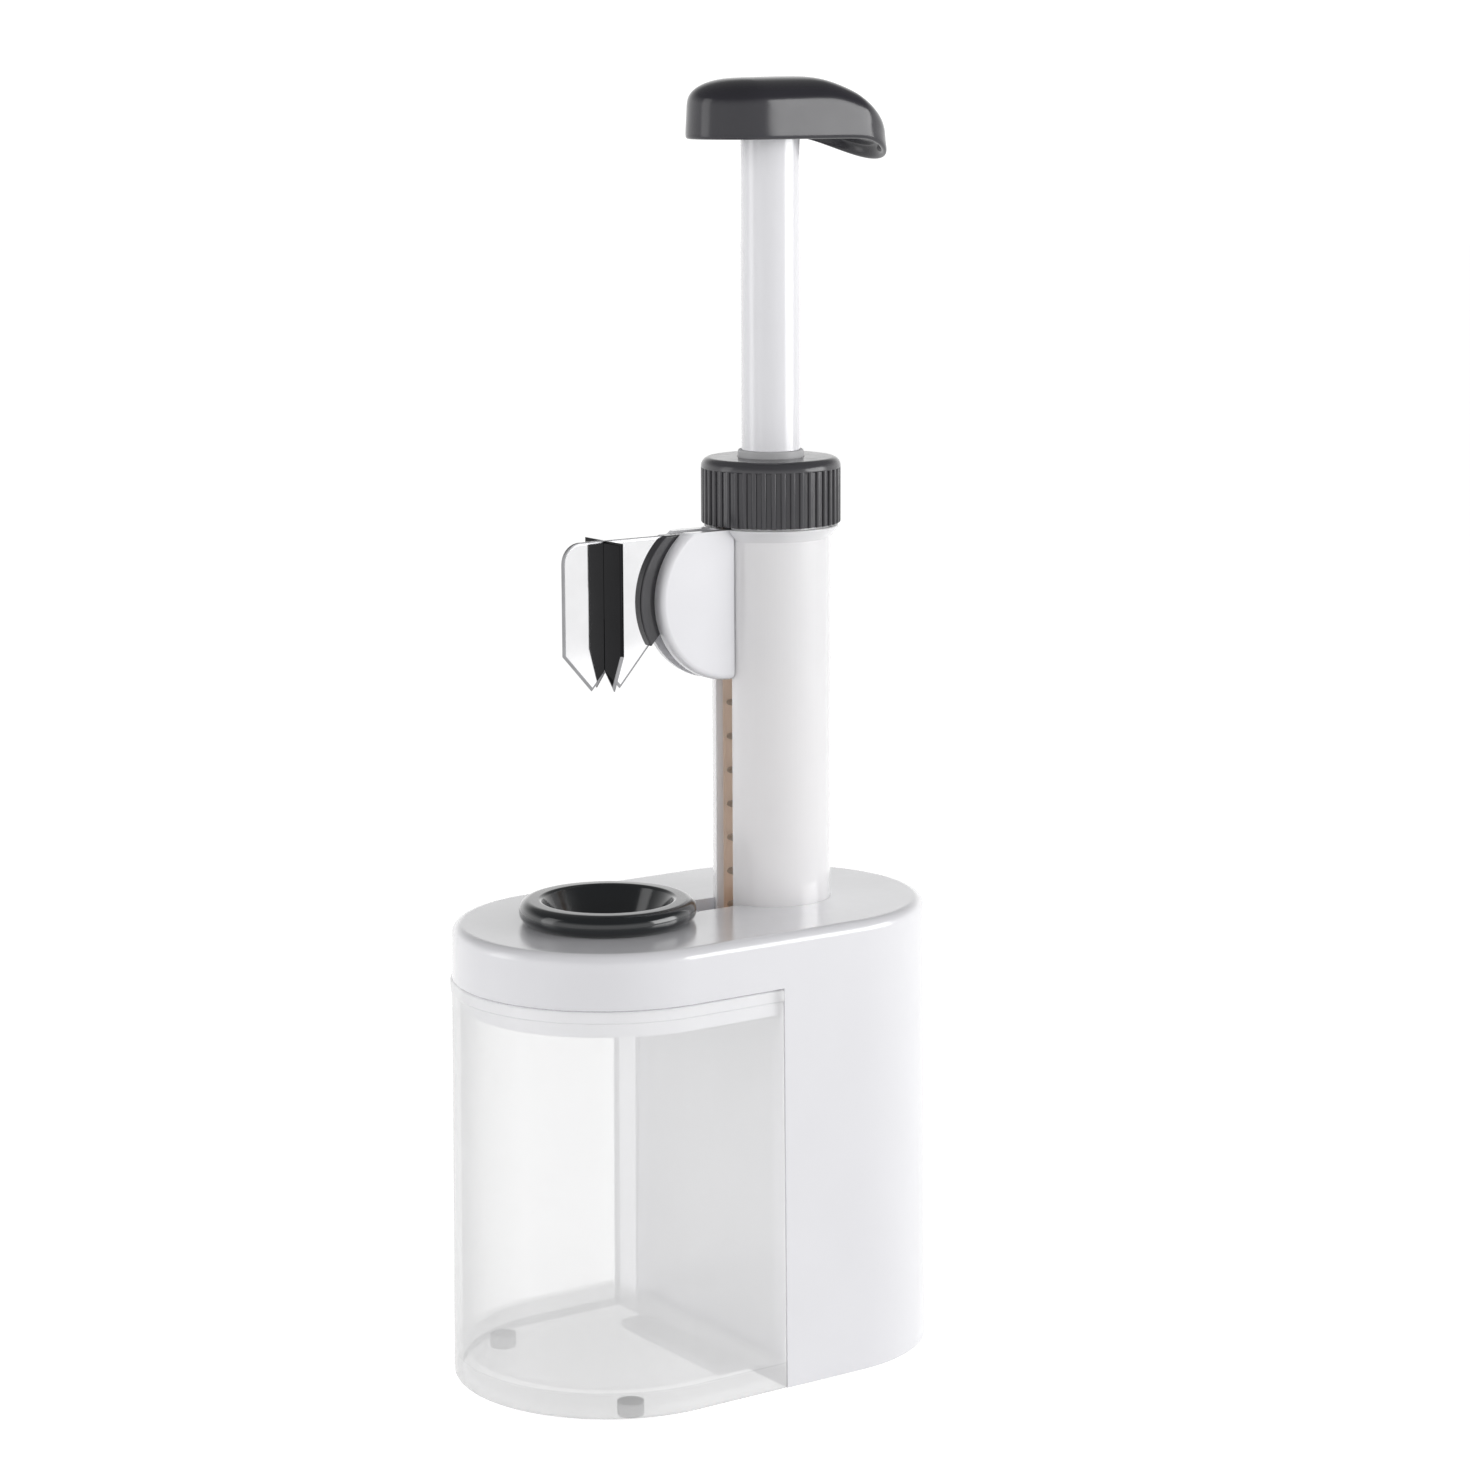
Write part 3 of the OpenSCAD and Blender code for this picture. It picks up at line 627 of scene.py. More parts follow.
def housing_with_painted_glow(low_x, high_x):
    """White plastic with a painted glow on the inner face of its wall between two places along X,
    standing in for light through that thin wall.
    """
    paint = bpy.context.scene.pitter_finishes
    recipe = white_recipe("white_housing_painted_glow")
    half_span = (high_x - low_x) / 2
    beside = recipe.ramp(recipe.off_plane("X", low_x + half_span), half_span - FINE, half_span, 1, 0)
    inner = recipe.number("LESS_THAN", *recipe.in_wall(bpy.context.scene.pitter_housing.wall))
    under = recipe.number("LESS_THAN", recipe.along("Z"), RIM_Z)
    wall = recipe.number("MULTIPLY", recipe.number("MULTIPLY", beside, inner), under)
    # Painted glow on the wall's inner face beside the partition, below the rim
    recipe.glow((1, 1, 1), recipe.ramp(wall, 0, 1, 0, paint.painted_wall_glow))
    return recipe.material


def milky_with_painted_glow():
    """Milky plastic that lets what is behind it show through, with a painted glow that stands in for
    light it scatters from all round.
    """
    paint = bpy.context.scene.pitter_finishes
    recipe = moulded("milky", paint.milky, rough=(0.12, 0.2), depth=0.02, grain=500, relief=0.000004)
    recipe.set(specular_ior_level=0.3)
    sizes = bpy.context.scene.pitter_housing
    outer = recipe.number("GREATER_THAN", *recipe.in_wall(sizes.container_wall))
    cover = recipe.ramp(outer, 0, 1, paint.milky_inside, paint.milky_cover)
    floor_top = sizes.container_low + sizes.container_floor
    soft = 0.0005
    above = recipe.ramp(recipe.along("Z"), floor_top, floor_top + soft, 0, 1)
    foot = recipe.ramp(above, 0, 1, paint.milky_foot, 0)
    slant = recipe.nodes.new("ShaderNodeLayerWeight").outputs["Facing"]
    edge = recipe.ramp(slant, 0.45, 1.0, 0, paint.milky_edge)
    # Painted glow, strongest where a face turns to the camera and none along the foot
    painted_glow_level = recipe.ramp(slant, 0.2, 0.7, paint.milky_painted_glow, 0)
    recipe.glow((1, 1, 1), recipe.number("MULTIPLY", above, painted_glow_level))
    recipe.link(recipe.number("MAXIMUM", recipe.number("MAXIMUM", cover, foot), edge), "Alpha")
    return recipe.material


def steel_recipe(name, waves, stretch, relief):
    """Bare steel with fine lines along Z, and those lines."""
    recipe = Recipe(name)
    lines = recipe.noise(waves, (1, 1, stretch), detail=4)
    recipe.bump(lines, relief)
    recipe.set(metallic=1.0)
    return recipe, lines


def steel_finish(base):
    """Plain steel."""
    recipe, lines = steel_recipe("plain_steel", waves=1500, stretch=0.1, relief=0.000003)
    recipe.link(recipe.tone(tuple(base), 120, 0.08), "Base Color")
    recipe.link(recipe.spread(lines, 0.3, 0.42), "Roughness")
    return recipe.material


def blade_finish(name, base, axis, place, flat, ground_top):
    """Polished blade, grey up to a height where its ground edges lie inside its flat faces."""
    recipe, _ = steel_recipe(name, waves=900, stretch=0.04, relief=0.0000003)
    hair = 0.00001
    face = recipe.ramp(recipe.off_plane(axis, place), flat - 4 * hair, flat - hair, 0, 1)
    above = recipe.number("GREATER_THAN", recipe.along("Z"), ground_top)
    face = recipe.number("MAXIMUM", face, above)
    shine = recipe.tone(tuple(base), 120, 0.06)
    ground = recipe.tone(tuple(bpy.context.scene.pitter_finishes.ground), 200, 0.15)
    recipe.link(recipe.blend(face, ground, shine), "Base Color")
    recipe.link(recipe.ramp(face, 0, 1, 0.3, 0.06), "Roughness")
    return recipe.material


def black_finish(base):
    """Glossy black plastic."""
    recipe = moulded("glossy_black", base, rough=(0.1, 0.2), depth=0.1, grain=600, relief=0.000003)
    recipe.set(coat_weight=0.6, coat_roughness=0.14)
    return recipe.material


def light_finish(base):
    """Light grey plastic."""
    recipe = moulded("plain_light", base, rough=(0.4, 0.5), depth=0.05, grain=1500, relief=0.000006)
    return recipe.material


def rubber_finish(base):
    """Dull rubber."""
    recipe = moulded("dull_rubber", base, rough=(0.6, 0.75), depth=0.2, grain=2500, relief=0.00002)
    return recipe.material


FINISH_MAKERS = {
    "white_plastic": lambda paint: white_recipe("glossy_white").material,
    "milky_plastic": lambda paint: milky_with_painted_glow(),
    "dark_plastic": lambda paint: satin_finish("satin_dark", paint.dark),
    "light_plastic": lambda paint: light_finish(paint.light),
    "black_plastic": lambda paint: black_finish(paint.black),
    "steel": lambda paint: steel_finish(paint.steel),
    "rubber": lambda paint: rubber_finish(paint.rubber),
}
FINISHES = {}


def finish_for(slot):
    """Material of one of the record's slots, made once."""
    if slot not in FINISHES:
        FINISHES[slot] = FINISH_MAKERS[slot](bpy.context.scene.pitter_finishes)
    return FINISHES[slot]


def base_radius(z, inset=0.0):
    """Plan radius of the drafted base wall at a height, set in."""
    sizes = bpy.context.scene.pitter_housing
    return sizes.radius + sizes.draft * (DECK_Z - z) / (DECK_Z - FOOT_Z) - inset


def stadium(inset, low, high, low_round=0.0, high_round=0.0):
    """Solid of the base's drafted plan between two heights, set in from the outer wall."""
    corners = [
        (0, low, None),
        (base_radius(low, inset), low, low_round),
        (base_radius(high, inset), high, high_round),
        (0, high, None),
    ]
    return lathe(soften(corners), SEAT_X, sides=128, reach=AXIS_GAP)


def rod_shape(radius, low, high, x, rounding=0.0, sides=96):
    """Upright round bar with rounded ends."""
    corners = [(0, low, None), (radius, low, rounding), (radius, high, rounding), (0, high, None)]
    return lathe(soften(corners), x, sides=sides)


class PITTER_OT_housing(bpy.types.Operator):
    """Models the housing: the deck, the cover with its skirt and the body beside the container"""

    bl_idname = "pitter.housing"
    bl_label = "Housing"

    def execute(self, context):
        s = context.scene.pitter_housing
        cover_z = RIM_Z + s.gap
        joint_x = CONTAINER_X + s.gap
        partition_x = joint_x + s.partition_set
        skirt_low = cover_z - s.skirt
        column_radius = context.scene.pitter_column.radius
        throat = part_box("seat_clip")[1].x - SEAT_X - CLIP_WALL
        body = stadium(0, FOOT_Z, DECK_Z, s.soft_edge, s.deck_edge)
        room = block((-BEYOND, -BEYOND, -BEYOND), (joint_x, BEYOND, cover_z))
        cut(room, stadium(s.skirt_set, skirt_low, DECK_Z))
        cut(body, room)
        under = stadium(s.skirt_set + s.wall, skirt_low - OVER, DECK_Z - s.deck)
        cut(body, half(under, partition_x, True))
        recess = stadium(s.wall, -OVER, skirt_low - s.gap)
        cut(body, half(recess, partition_x, True))
        inside = stadium(s.wall, -OVER, DECK_Z - s.deck)
        cut(body, half(inside, partition_x + s.wall, False))
        socket = rod_shape(column_radius + s.socket_wall, s.socket_low, DECK_Z - s.deck / 2, COLUMN_X)
        combine(body, socket, "UNION")
        socket_floor = s.socket_low + s.socket_wall
        cut(body, rod_shape(column_radius, socket_floor, DECK_Z + OVER, COLUMN_X))
        cut(body, rod_shape(throat, skirt_low, DECK_Z + OVER, SEAT_X))
        y = s.slot_width / 2
        cut(body, block((SEAT_X, -y, DECK_Z - s.slot_depth), (COLUMN_X, y, DECK_Z + OVER)))
        round_edges(body, s.soft_edge)
        hand_in(body, "housing", "base", "base_housing", housing_with_painted_glow(joint_x, partition_x))
        return {"FINISHED"}


class PITTER_OT_container(bpy.types.Operator):
    """Models the pull-out container with its bead and its low wall"""

    bl_idname = "pitter.container"
    bl_label = "Container"

    def execute(self, context):
        s = context.scene.pitter_housing
        bead_low = RIM_Z - s.bead
        bead_radius = base_radius(RIM_Z) + s.bead_out
        corners = [
            (0, FOOT_Z, None),
            (base_radius(FOOT_Z), FOOT_Z, s.foot_edge),
            (base_radius(bead_low), bead_low, 0.0),
            (bead_radius, bead_low + s.bead_out, FINEST),
            (bead_radius, RIM_Z, s.rim_edge),
            (0, RIM_Z, None),
        ]
        box = half(lathe(soften(corners), SEAT_X, sides=128, reach=AXIS_GAP), CONTAINER_X, True)
        wall = s.container_wall
        inside = stadium(wall, s.container_low + s.container_floor, RIM_Z + OVER, s.floor_edge)
        cut(inside, block((CONTAINER_X - wall, -BEYOND, -BEYOND), (BEYOND, BEYOND, s.low_wall)))
        cut(box, inside)
        cut(box, stadium(wall, -OVER, s.container_low))
        round_edges(box, s.soft_edge)
        hand_in(box, "pull_out_container", "container", "container")
        return {"FINISHED"}


class PITTER_OT_column(bpy.types.Operator):
    """Models the slotted column, the rod and its bush"""

    bl_idname = "pitter.column"
    bl_label = "Column and rod"

    def execute(self, context):
        s = context.scene.pitter_column
        housing = context.scene.pitter_housing
        low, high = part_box("column")
        outer = s.radius
        inner = outer - s.wall
        ring = [(outer, low.z), (outer, high.z), (inner, high.z), (inner, low.z)]
        tube = lathe(ring, COLUMN_X, sides=128, hollow=True)
        y = s.slot / 2
        slot_low = DECK_Z - housing.deck
        cut(tube, block((COLUMN_X - 2 * outer, -y, slot_low), (COLUMN_X, y, high.z + OVER)))
        round_edges(tube, housing.soft_edge)
        combine(tube, self.flare(s, high.x - COLUMN_X), "UNION")
        hand_in(tube, "slotted_column", "base", "column", column_painted_bore(inner))
        column_top = high.z

        low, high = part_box("rod")
        rod_radius = high.x - COLUMN_X
        rod = rod_shape(rod_radius, low.z, high.z, COLUMN_X, s.rod_edge)
        hand_in(rod, "push_rod", "plunger", "rod")

        low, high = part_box("rod_bush")
        flange_top = column_top + s.bush_flange
        flange = high.x - COLUMN_X
        plug = inner - SLIDE
        bore = rod_radius + SLIDE
        lip = bore + s.bush_wall
        corners = [
            (bore, low.z, FINE),
            (plug, low.z, FINE),
            (plug, column_top, 0.0),
            (flange, column_top, 0.0),
            (flange, flange_top, FINE),
            (lip, flange_top, 0.0),
            (lip, high.z, s.bush_wall / 2),
            (bore, high.z, FINEST),
        ]
        bush = lathe(soften(corners), COLUMN_X, hollow=True)
        hand_in(bush, "rod_collar", "bush", "rod_bush")
        return {"FINISHED"}

    def flare(self, s, reach):
        """Flare under the cap, open where the carriage passes."""
        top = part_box("carriage")[1].z
        root = s.radius - s.wall / 2
        slope = s.flare / (reach - s.radius)
        corners = [
            (root, top - s.flare - slope * (s.radius - root), 0),
            (reach, top, FINE),
            (root, top, 0),
        ]
        flare = lathe(soften(corners), COLUMN_X, sides=128, hollow=True)
        y = bpy.context.scene.pitter_carriage.cheek_half + s.carriage_room
        cut(flare, block((COLUMN_X - 2 * reach, -y, top - 4 * s.flare), (COLUMN_X, y, top + OVER)))
        return flare


class PITTER_OT_cap(bpy.types.Operator):
    """Models the ribbed screw cap"""

    bl_idname = "pitter.cap"
    bl_label = "Screw cap"

    def execute(self, context):
        s = context.scene.pitter_column
        low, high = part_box("screw_cap")
        outer = high.x - COLUMN_X
        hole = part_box("rod")[1].x - COLUMN_X + s.bush_wall + 2 * SLIDE
        rib_top = high.z - s.cap_round
        core = outer - s.rib_depth
        corners = [
            (s.cap_bore, low.z, FINE),
            (core, low.z, FINE),
            (core, rib_top, FINEST),
            (outer, rib_top, FINEST),
            (outer, high.z, s.cap_round - s.rib_root),
            (hole, high.z, FINE),
            (hole, high.z - s.cap_top, 0.0),
            (s.cap_bore, high.z - s.cap_top, 0.0),
        ]
        cap = lathe(soften(corners), COLUMN_X, sides=132, hollow=True)
        inner, y = COLUMN_X + core - s.rib_root, s.rib_width / 2
        rib = block((inner, -y, low.z), (COLUMN_X + outer, y, rib_top + s.rib_root))
        open_mesh(rib)
        pick(lambda p: p.x > COLUMN_X + core, "EDGE")
        bpy.ops.mesh.bevel(offset=s.rib_edge, segments=3, affect="EDGES")
        bpy.ops.mesh.select_all(action="SELECT")
        turn = 2 * math.pi * (s.rib_count - 1) / s.rib_count
        bpy.ops.mesh.spin(
            steps=s.rib_count - 1, dupli=True, angle=turn, center=(COLUMN_X, 0, low.z), axis=(0, 0, 1)
        )
        close_mesh()
        select_only(cap)
        rib.select_set(True)
        bpy.ops.object.join()
        hand_in(cap, "ribbed_cap", "cap", "screw_cap")
        return {"FINISHED"}


class PITTER_OT_spring(bpy.types.Operator):
    """Winds the return spring inside the column"""

    bl_idname = "pitter.spring"
    bl_label = "Return spring"

    def execute(self, context):
        s = context.scene.pitter_column
        low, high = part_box("return_spring")
        middle_x = (low.x + high.x) / 2
        radius = (high.x - low.x) / 2 - s.wire / 2
        rise = high.z - low.z - 2 * s.wire
        wire_sides, turn_steps = 10, 24
        wire = begin(
            bpy.ops.mesh.primitive_circle_add,
            vertices=wire_sides,
            radius=s.wire / 2,
            location=(radius, 0, 0),
            rotation=(math.pi / 2, 0, 0),
        )
        steps = round(turn_steps * s.turns)
        turned = {"axis": "Z", "angle": 2 * math.pi * s.turns, "screw_offset": rise}
        modify(wire, "SCREW", steps=steps, render_steps=steps, **turned)
        open_mesh(wire)
        bpy.ops.mesh.remove_doubles(threshold=TINY)
        pick_open_edges()
        bpy.ops.mesh.fill_holes(sides=0)
        for end_z, step in ((0.0, -s.wire), (rise, s.wire)):
            pick(lambda p, z=end_z: abs(p.z - z) < s.wire, "FACE")
            mesh = bmesh.from_edit_mesh(wire.data)
            for face in mesh.faces:
                face.select_set(face.select and len(face.verts) == wire_sides)
            mesh.select_flush_mode()
            bmesh.update_edit_mesh(wire.data)
            extrude((0, 0, step))
        close_mesh()
        wire.location = (middle_x, 0, low.z + s.wire)
        hand_in(wire, "wound_spring", "base", "return_spring")
        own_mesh(wire)
        return {"FINISHED"}


def arc(centre_x, centre_z, radius, start_angle, end_angle, steps=64):
    """Points along an arc in X and Z."""
    turn = (end_angle - start_angle) / steps
    angles = [start_angle + turn * i for i in range(steps + 1)]
    return [(centre_x + radius * math.cos(a), centre_z + radius * math.sin(a)) for a in angles]


class PITTER_OT_carriage(bpy.types.Operator):
    """Models the carriage with its two round cheeks, and between them a dark grip that paints the
    shade of their gap
    """

    bl_idname = "pitter.carriage"
    bl_label = "Carriage"

    def execute(self, context):
        s = context.scene.pitter_carriage
        low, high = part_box("carriage")
        column = context.scene.pitter_column
        slider_radius = column.radius - column.wall - SLIDE
        slider_low, slider_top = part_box("return_spring")[1].z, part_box("bumper")[0].z
        cheek_x = low.x + s.cheek_radius
        cheek_z = low.z + s.cheek_radius
        grip_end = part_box("blade_grip")[1].x
        right = cheek_x + s.cheek_end
        rise = math.asin((high.z - cheek_z) / s.cheek_radius)
        drop = math.acos(s.cheek_end / s.cheek_radius)
        round_side = arc(cheek_x, cheek_z, s.cheek_radius, math.pi - rise, 2 * math.pi - drop)
        body = plate([(right, high.z), *round_side], 2 * s.cheek_half)
        open_mesh(body)
        for y in (-s.cheek_half, s.cheek_half):
            pick(lambda p, y=y: abs(p.y - y) < TINY and p.x < right - SLIDE, "EDGE")
            bpy.ops.mesh.bevel(offset=s.cheek_round, segments=5, affect="EDGES")
        close_mesh()
        room = column.radius + column.carriage_room
        cut(body, rod_shape(room, low.z - OVER, high.z + OVER, COLUMN_X, sides=128))
        y = s.grip_room / 2
        cut(body, block((low.x - OVER, -y, low.z - OVER), (grip_end, y, high.z + OVER)))
        y = s.neck / 2
        neck = block((grip_end - OVER, -y, slider_low), (COLUMN_X, y, slider_top))
        combine(body, neck, "UNION")
        slider = rod_shape(slider_radius, slider_low, slider_top, COLUMN_X, column.rod_edge)
        combine(body, slider, "UNION")
        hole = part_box("rod")[1].x - COLUMN_X
        cut(body, rod_shape(hole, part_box("rod")[0].z, slider_top + OVER, COLUMN_X))
        round_edges(body, FINE)
        hand_in(body, "knife_carriage", "plunger", "carriage")
        self.grip(s)
        return {"FINISHED"}

    def grip(self, s):
        """Dark piece between the cheeks, cut along the blade's slanted edge, that paints the shade of
        their gap as the mirror blade shows it.
        """
        low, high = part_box("blade_grip")
        blade_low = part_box("long_blade")[0]
        seat = SEAT_X + s.tip
        slope = s.cut_height / (SEAT_X - s.tip - blade_low.x)
        radius = s.cheek_radius
        centre_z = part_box("carriage")[0].z + radius
        rise = math.asin(min(1.0, (high.z - centre_z) / radius))
        front = arc(low.x + radius, centre_z, radius, math.pi - rise, math.pi + rise)
        points = [(high.x, high.z)]
        points += [(x, z) for x, z in front if z > blade_low.z + slope * (x - seat)]
        points.append((high.x, blade_low.z + slope * (high.x - seat)))
        # Painted shade: a dark piece where the gap between the cheeks, seen in the mirror blade, lies
        # in shade
        grip = plate(points, high.y - low.y)
        round_edges(grip, s.grip_round, 6)
        hand_in(grip, "painted_shade_grip", "plunger", "blade_grip")


def ground_blade(s, outline, thickness):
    """Plate with edges ground thin all round."""
    edge = s.edge_share * thickness
    blade = plate(outline, edge)
    open_mesh(blade)
    for side in (-1, 1):
        pick(lambda p, y=side * edge / 2: abs(p.y - y) < TINY, "FACE")
        bpy.ops.mesh.inset(thickness=s.grind, use_even_offset=True)
        shift((0, side * (thickness - edge) / 2, 0))
    return close_mesh()


class PITTER_OT_blades(bpy.types.Operator):
    """Models the long blade and the cross blade with ground edges"""

    bl_idname = "pitter.blades"
    bl_label = "Blades"

    def execute(self, context):
        s = context.scene.pitter_carriage
        low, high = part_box("long_blade")
        thickness = high.y - low.y
        lap_z = high.z - s.lap
        slope = s.cut_height / (SEAT_X - s.tip - low.x)
        half_lap = s.lap_width / 2
        corner = arc(low.x + s.corner, high.z - s.corner, s.corner, math.pi, math.pi / 2, 9)
        outline = [
            (SEAT_X, low.z + s.notch),
            (SEAT_X - s.tip, low.z),
            (low.x, low.z + s.cut_height),
            *corner,
            (high.x, high.z),
            (high.x, low.z + slope * (high.x - SEAT_X - s.tip)),
            (SEAT_X + s.tip, low.z),
        ]
        blade = ground_blade(s, outline, thickness)
        lap_low = (SEAT_X - half_lap, -thickness, low.z - OVER)
        cut(blade, block(lap_low, (SEAT_X + half_lap, thickness, lap_z)))
        paint = context.scene.pitter_finishes
        mirror = blade_finish("mirror_steel", paint.mirror, "Y", 0, thickness / 2, high.z)
        hand_in(blade, "mirror_blade", "plunger", "long_blade", mirror)

        low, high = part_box("cross_blade")
        reach, ground_top = high.y, low.z + s.cut_height
        outline = [
            (reach, high.z),
            (reach, ground_top),
            (s.tip, low.z),
            (0, low.z + s.notch),
            (-s.tip, low.z),
            (-reach, ground_top),
            (-reach, high.z),
        ]
        cross = ground_blade(s, outline, thickness)
        lap_low = (-half_lap, -thickness, lap_z)
        cut(cross, block(lap_low, (half_lap, thickness, high.z + OVER)))
        open_mesh(cross)
        bpy.ops.transform.rotate(value=math.pi / 2, orient_axis="Z", center_override=(0, 0, 0))
        shift((SEAT_X, 0, 0))
        close_mesh()
        # Painted reflection: the cross blade's near-black stands in for the dark surroundings it
        # reflects
        black = blade_finish("cross_steel_painted_dark", paint.dark_steel, "X", SEAT_X, thickness / 2, ground_top)
        hand_in(cross, "crossing_blade", "plunger", "cross_blade", black)
        return {"FINISHED"}


class PITTER_OT_seat_ring(bpy.types.Operator):
    """Models the seat ring with its funnel"""

    bl_idname = "pitter.seat_ring"
    bl_label = "Seat ring"

    def execute(self, context):
        low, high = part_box("seat_ring")
        outer = high.x - SEAT_X
        tall = high.z - DECK_Z
        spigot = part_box("seat_clip")[1].x - SEAT_X - CLIP_WALL - SLIDE
        wall, throat_drop = 0.004, 0.0015
        under_edge, top_edge, funnel_edge, throat_edge = 0.0024, 0.0026, 0.0012, 0.002
        throat = spigot - wall
        corners = [
            (throat, low.z, FINE),
            (spigot, low.z, FINE),
            (spigot, DECK_Z, 0.0),
            (outer, DECK_Z, under_edge),
            (outer, high.z, top_edge),
            (outer - tall, high.z, funnel_edge),
            (throat, DECK_Z - throat_drop, throat_edge),
        ]
        ring = lathe(soften(corners, 8), SEAT_X, sides=128, hollow=True)
        hand_in(ring, "plum_seat", "base", "seat_ring")
        return {"FINISHED"}


class PITTER_OT_handle(bpy.types.Operator):
    """Models the palm handle: a crowned shell that falls to a lip, and its underside"""

    bl_idname = "pitter.handle"
    bl_label = "Handle"

    def execute(self, context):
        s = context.scene.pitter_handle
        low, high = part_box("handle_shell")
        self.near_x = low.x + s.near_radius
        self.far_x = high.x - s.far_radius
        self.crest_x = COLUMN_X + s.crest_x
        self.crown = high.z - HANDLE_Z - s.side
        self.finish = satin_finish("satin_handle", context.scene.pitter_finishes.handle)
        self.shell(s)
        self.underside(s)
        return {"FINISHED"}

    def draw_out(self, s, rings):
        """Form of rings of (radius, height), its far half drawn out to its own centre and radius."""
        form = lathe([(r, HANDLE_Z + z) for r, z in rings], self.near_x, sides=40)
        open_mesh(form)
        pick(lambda p: p.x > self.near_x)
        shift((self.far_x - self.near_x, 0, 0))
        grow = s.far_radius / s.near_radius
        bpy.ops.transform.resize(value=(grow, grow, 1), center_override=(self.far_x, 0, 0))
        step = s.ring_step
        for x in (COLUMN_X - step / 2, COLUMN_X + step, self.crest_x, self.crest_x + step):
            bpy.ops.mesh.select_all(action="SELECT")
            bpy.ops.mesh.bisect(plane_co=(x, 0, 0), plane_no=(1, 0, 0))
        return close_mesh()

    def lip(self, s, x):
        """How far the lower edge hangs down at x."""
        t = (x - (self.far_x + s.far_radius - s.lip_reach)) / s.lip_reach
        t = min(max(t, 0.0), 1.0)
        return s.lip_drop * t**s.lip_bend

    def drop(self, s, p):
        """How far a point sinks: the crown past its crest, and the rim down to the lip."""
        t = max((p.x - self.crest_x) / (self.far_x + s.far_radius - self.crest_x), 0.0) ** s.fall_bend
        up = min(max((p.z - HANDLE_Z - s.rim_top) / (s.side - s.rim_top), 0.0), 1.0)
        lean = max((self.crest_x - p.x) / (self.crest_x - self.near_x + s.near_radius), 0.0) ** 2
        return (s.fall * t + s.tilt * lean) * up + self.lip(s, p.x) * (1 - up)

    def shell(self, s):
        """Crowned shell: upright side, round crown and a rim that follows the lip."""
        near, rim, smallest = s.near_radius, s.near_radius - s.rim, 0.0008
        rings = [
            (rim - 0.0006, 0.005),
            (rim - 0.0001, 0.0045),
            (rim, 0.0011),
            (rim + 0.0002, 0.0003),
            (rim + 0.0006, 0.0001),
            (near - 0.0006, 0.0001),
            (near - 0.0001, 0.0004),
            (near, s.rim_top),
            (near - 0.3 * s.side_lean, 0.0032),
            (near - s.side_lean, s.side - 0.0016),
        ]
        for angle in range(6, 91, 12):
            a = math.radians(angle)
            radius = max(near - s.side_lean - s.crown_in * (1 - math.cos(a)), smallest)
            rings.append((radius, s.side + self.crown * math.sin(a) ** s.crown_bend))
        shell = self.draw_out(s, rings)
        for vert in shell.data.vertices:
            vert.co.z -= self.drop(s, vert.co)
        shell.data.update()
        subdivide(shell, 2)
        hand_in(shell, "handle_crown", "plunger", "handle_shell", self.finish)

    def underside(self, s):
        """Plate that closes the shell from below."""
        edge, centre, thick = s.near_radius - s.rim, 0.002, 0.0016
        rings = [
            (centre, thick),
            (edge, thick),
            (edge, 0.0004),
            (edge - 0.0006, 0.0002),
            (edge - 0.003, 0.0003),
            (edge - 0.006, 0.0003),
            (centre, 0.0003),
        ]
        base = subdivide(self.draw_out(s, rings), 2)
        hand_in(base, "handle_underside", "plunger", "handle_insert", self.finish)


class PITTER_OT_plain_nodes(bpy.types.Operator):
    """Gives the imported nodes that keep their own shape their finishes"""

    bl_idname = "pitter.plain_nodes"
    bl_label = "Packed nodes"

    def execute(self, context):
        for name, node in frame["nodes"].items():
            if not node.hide_render:
                node.data.materials.clear()
                node.data.materials.append(finish_for(slot_of(name)))
        return {"FINISHED"}


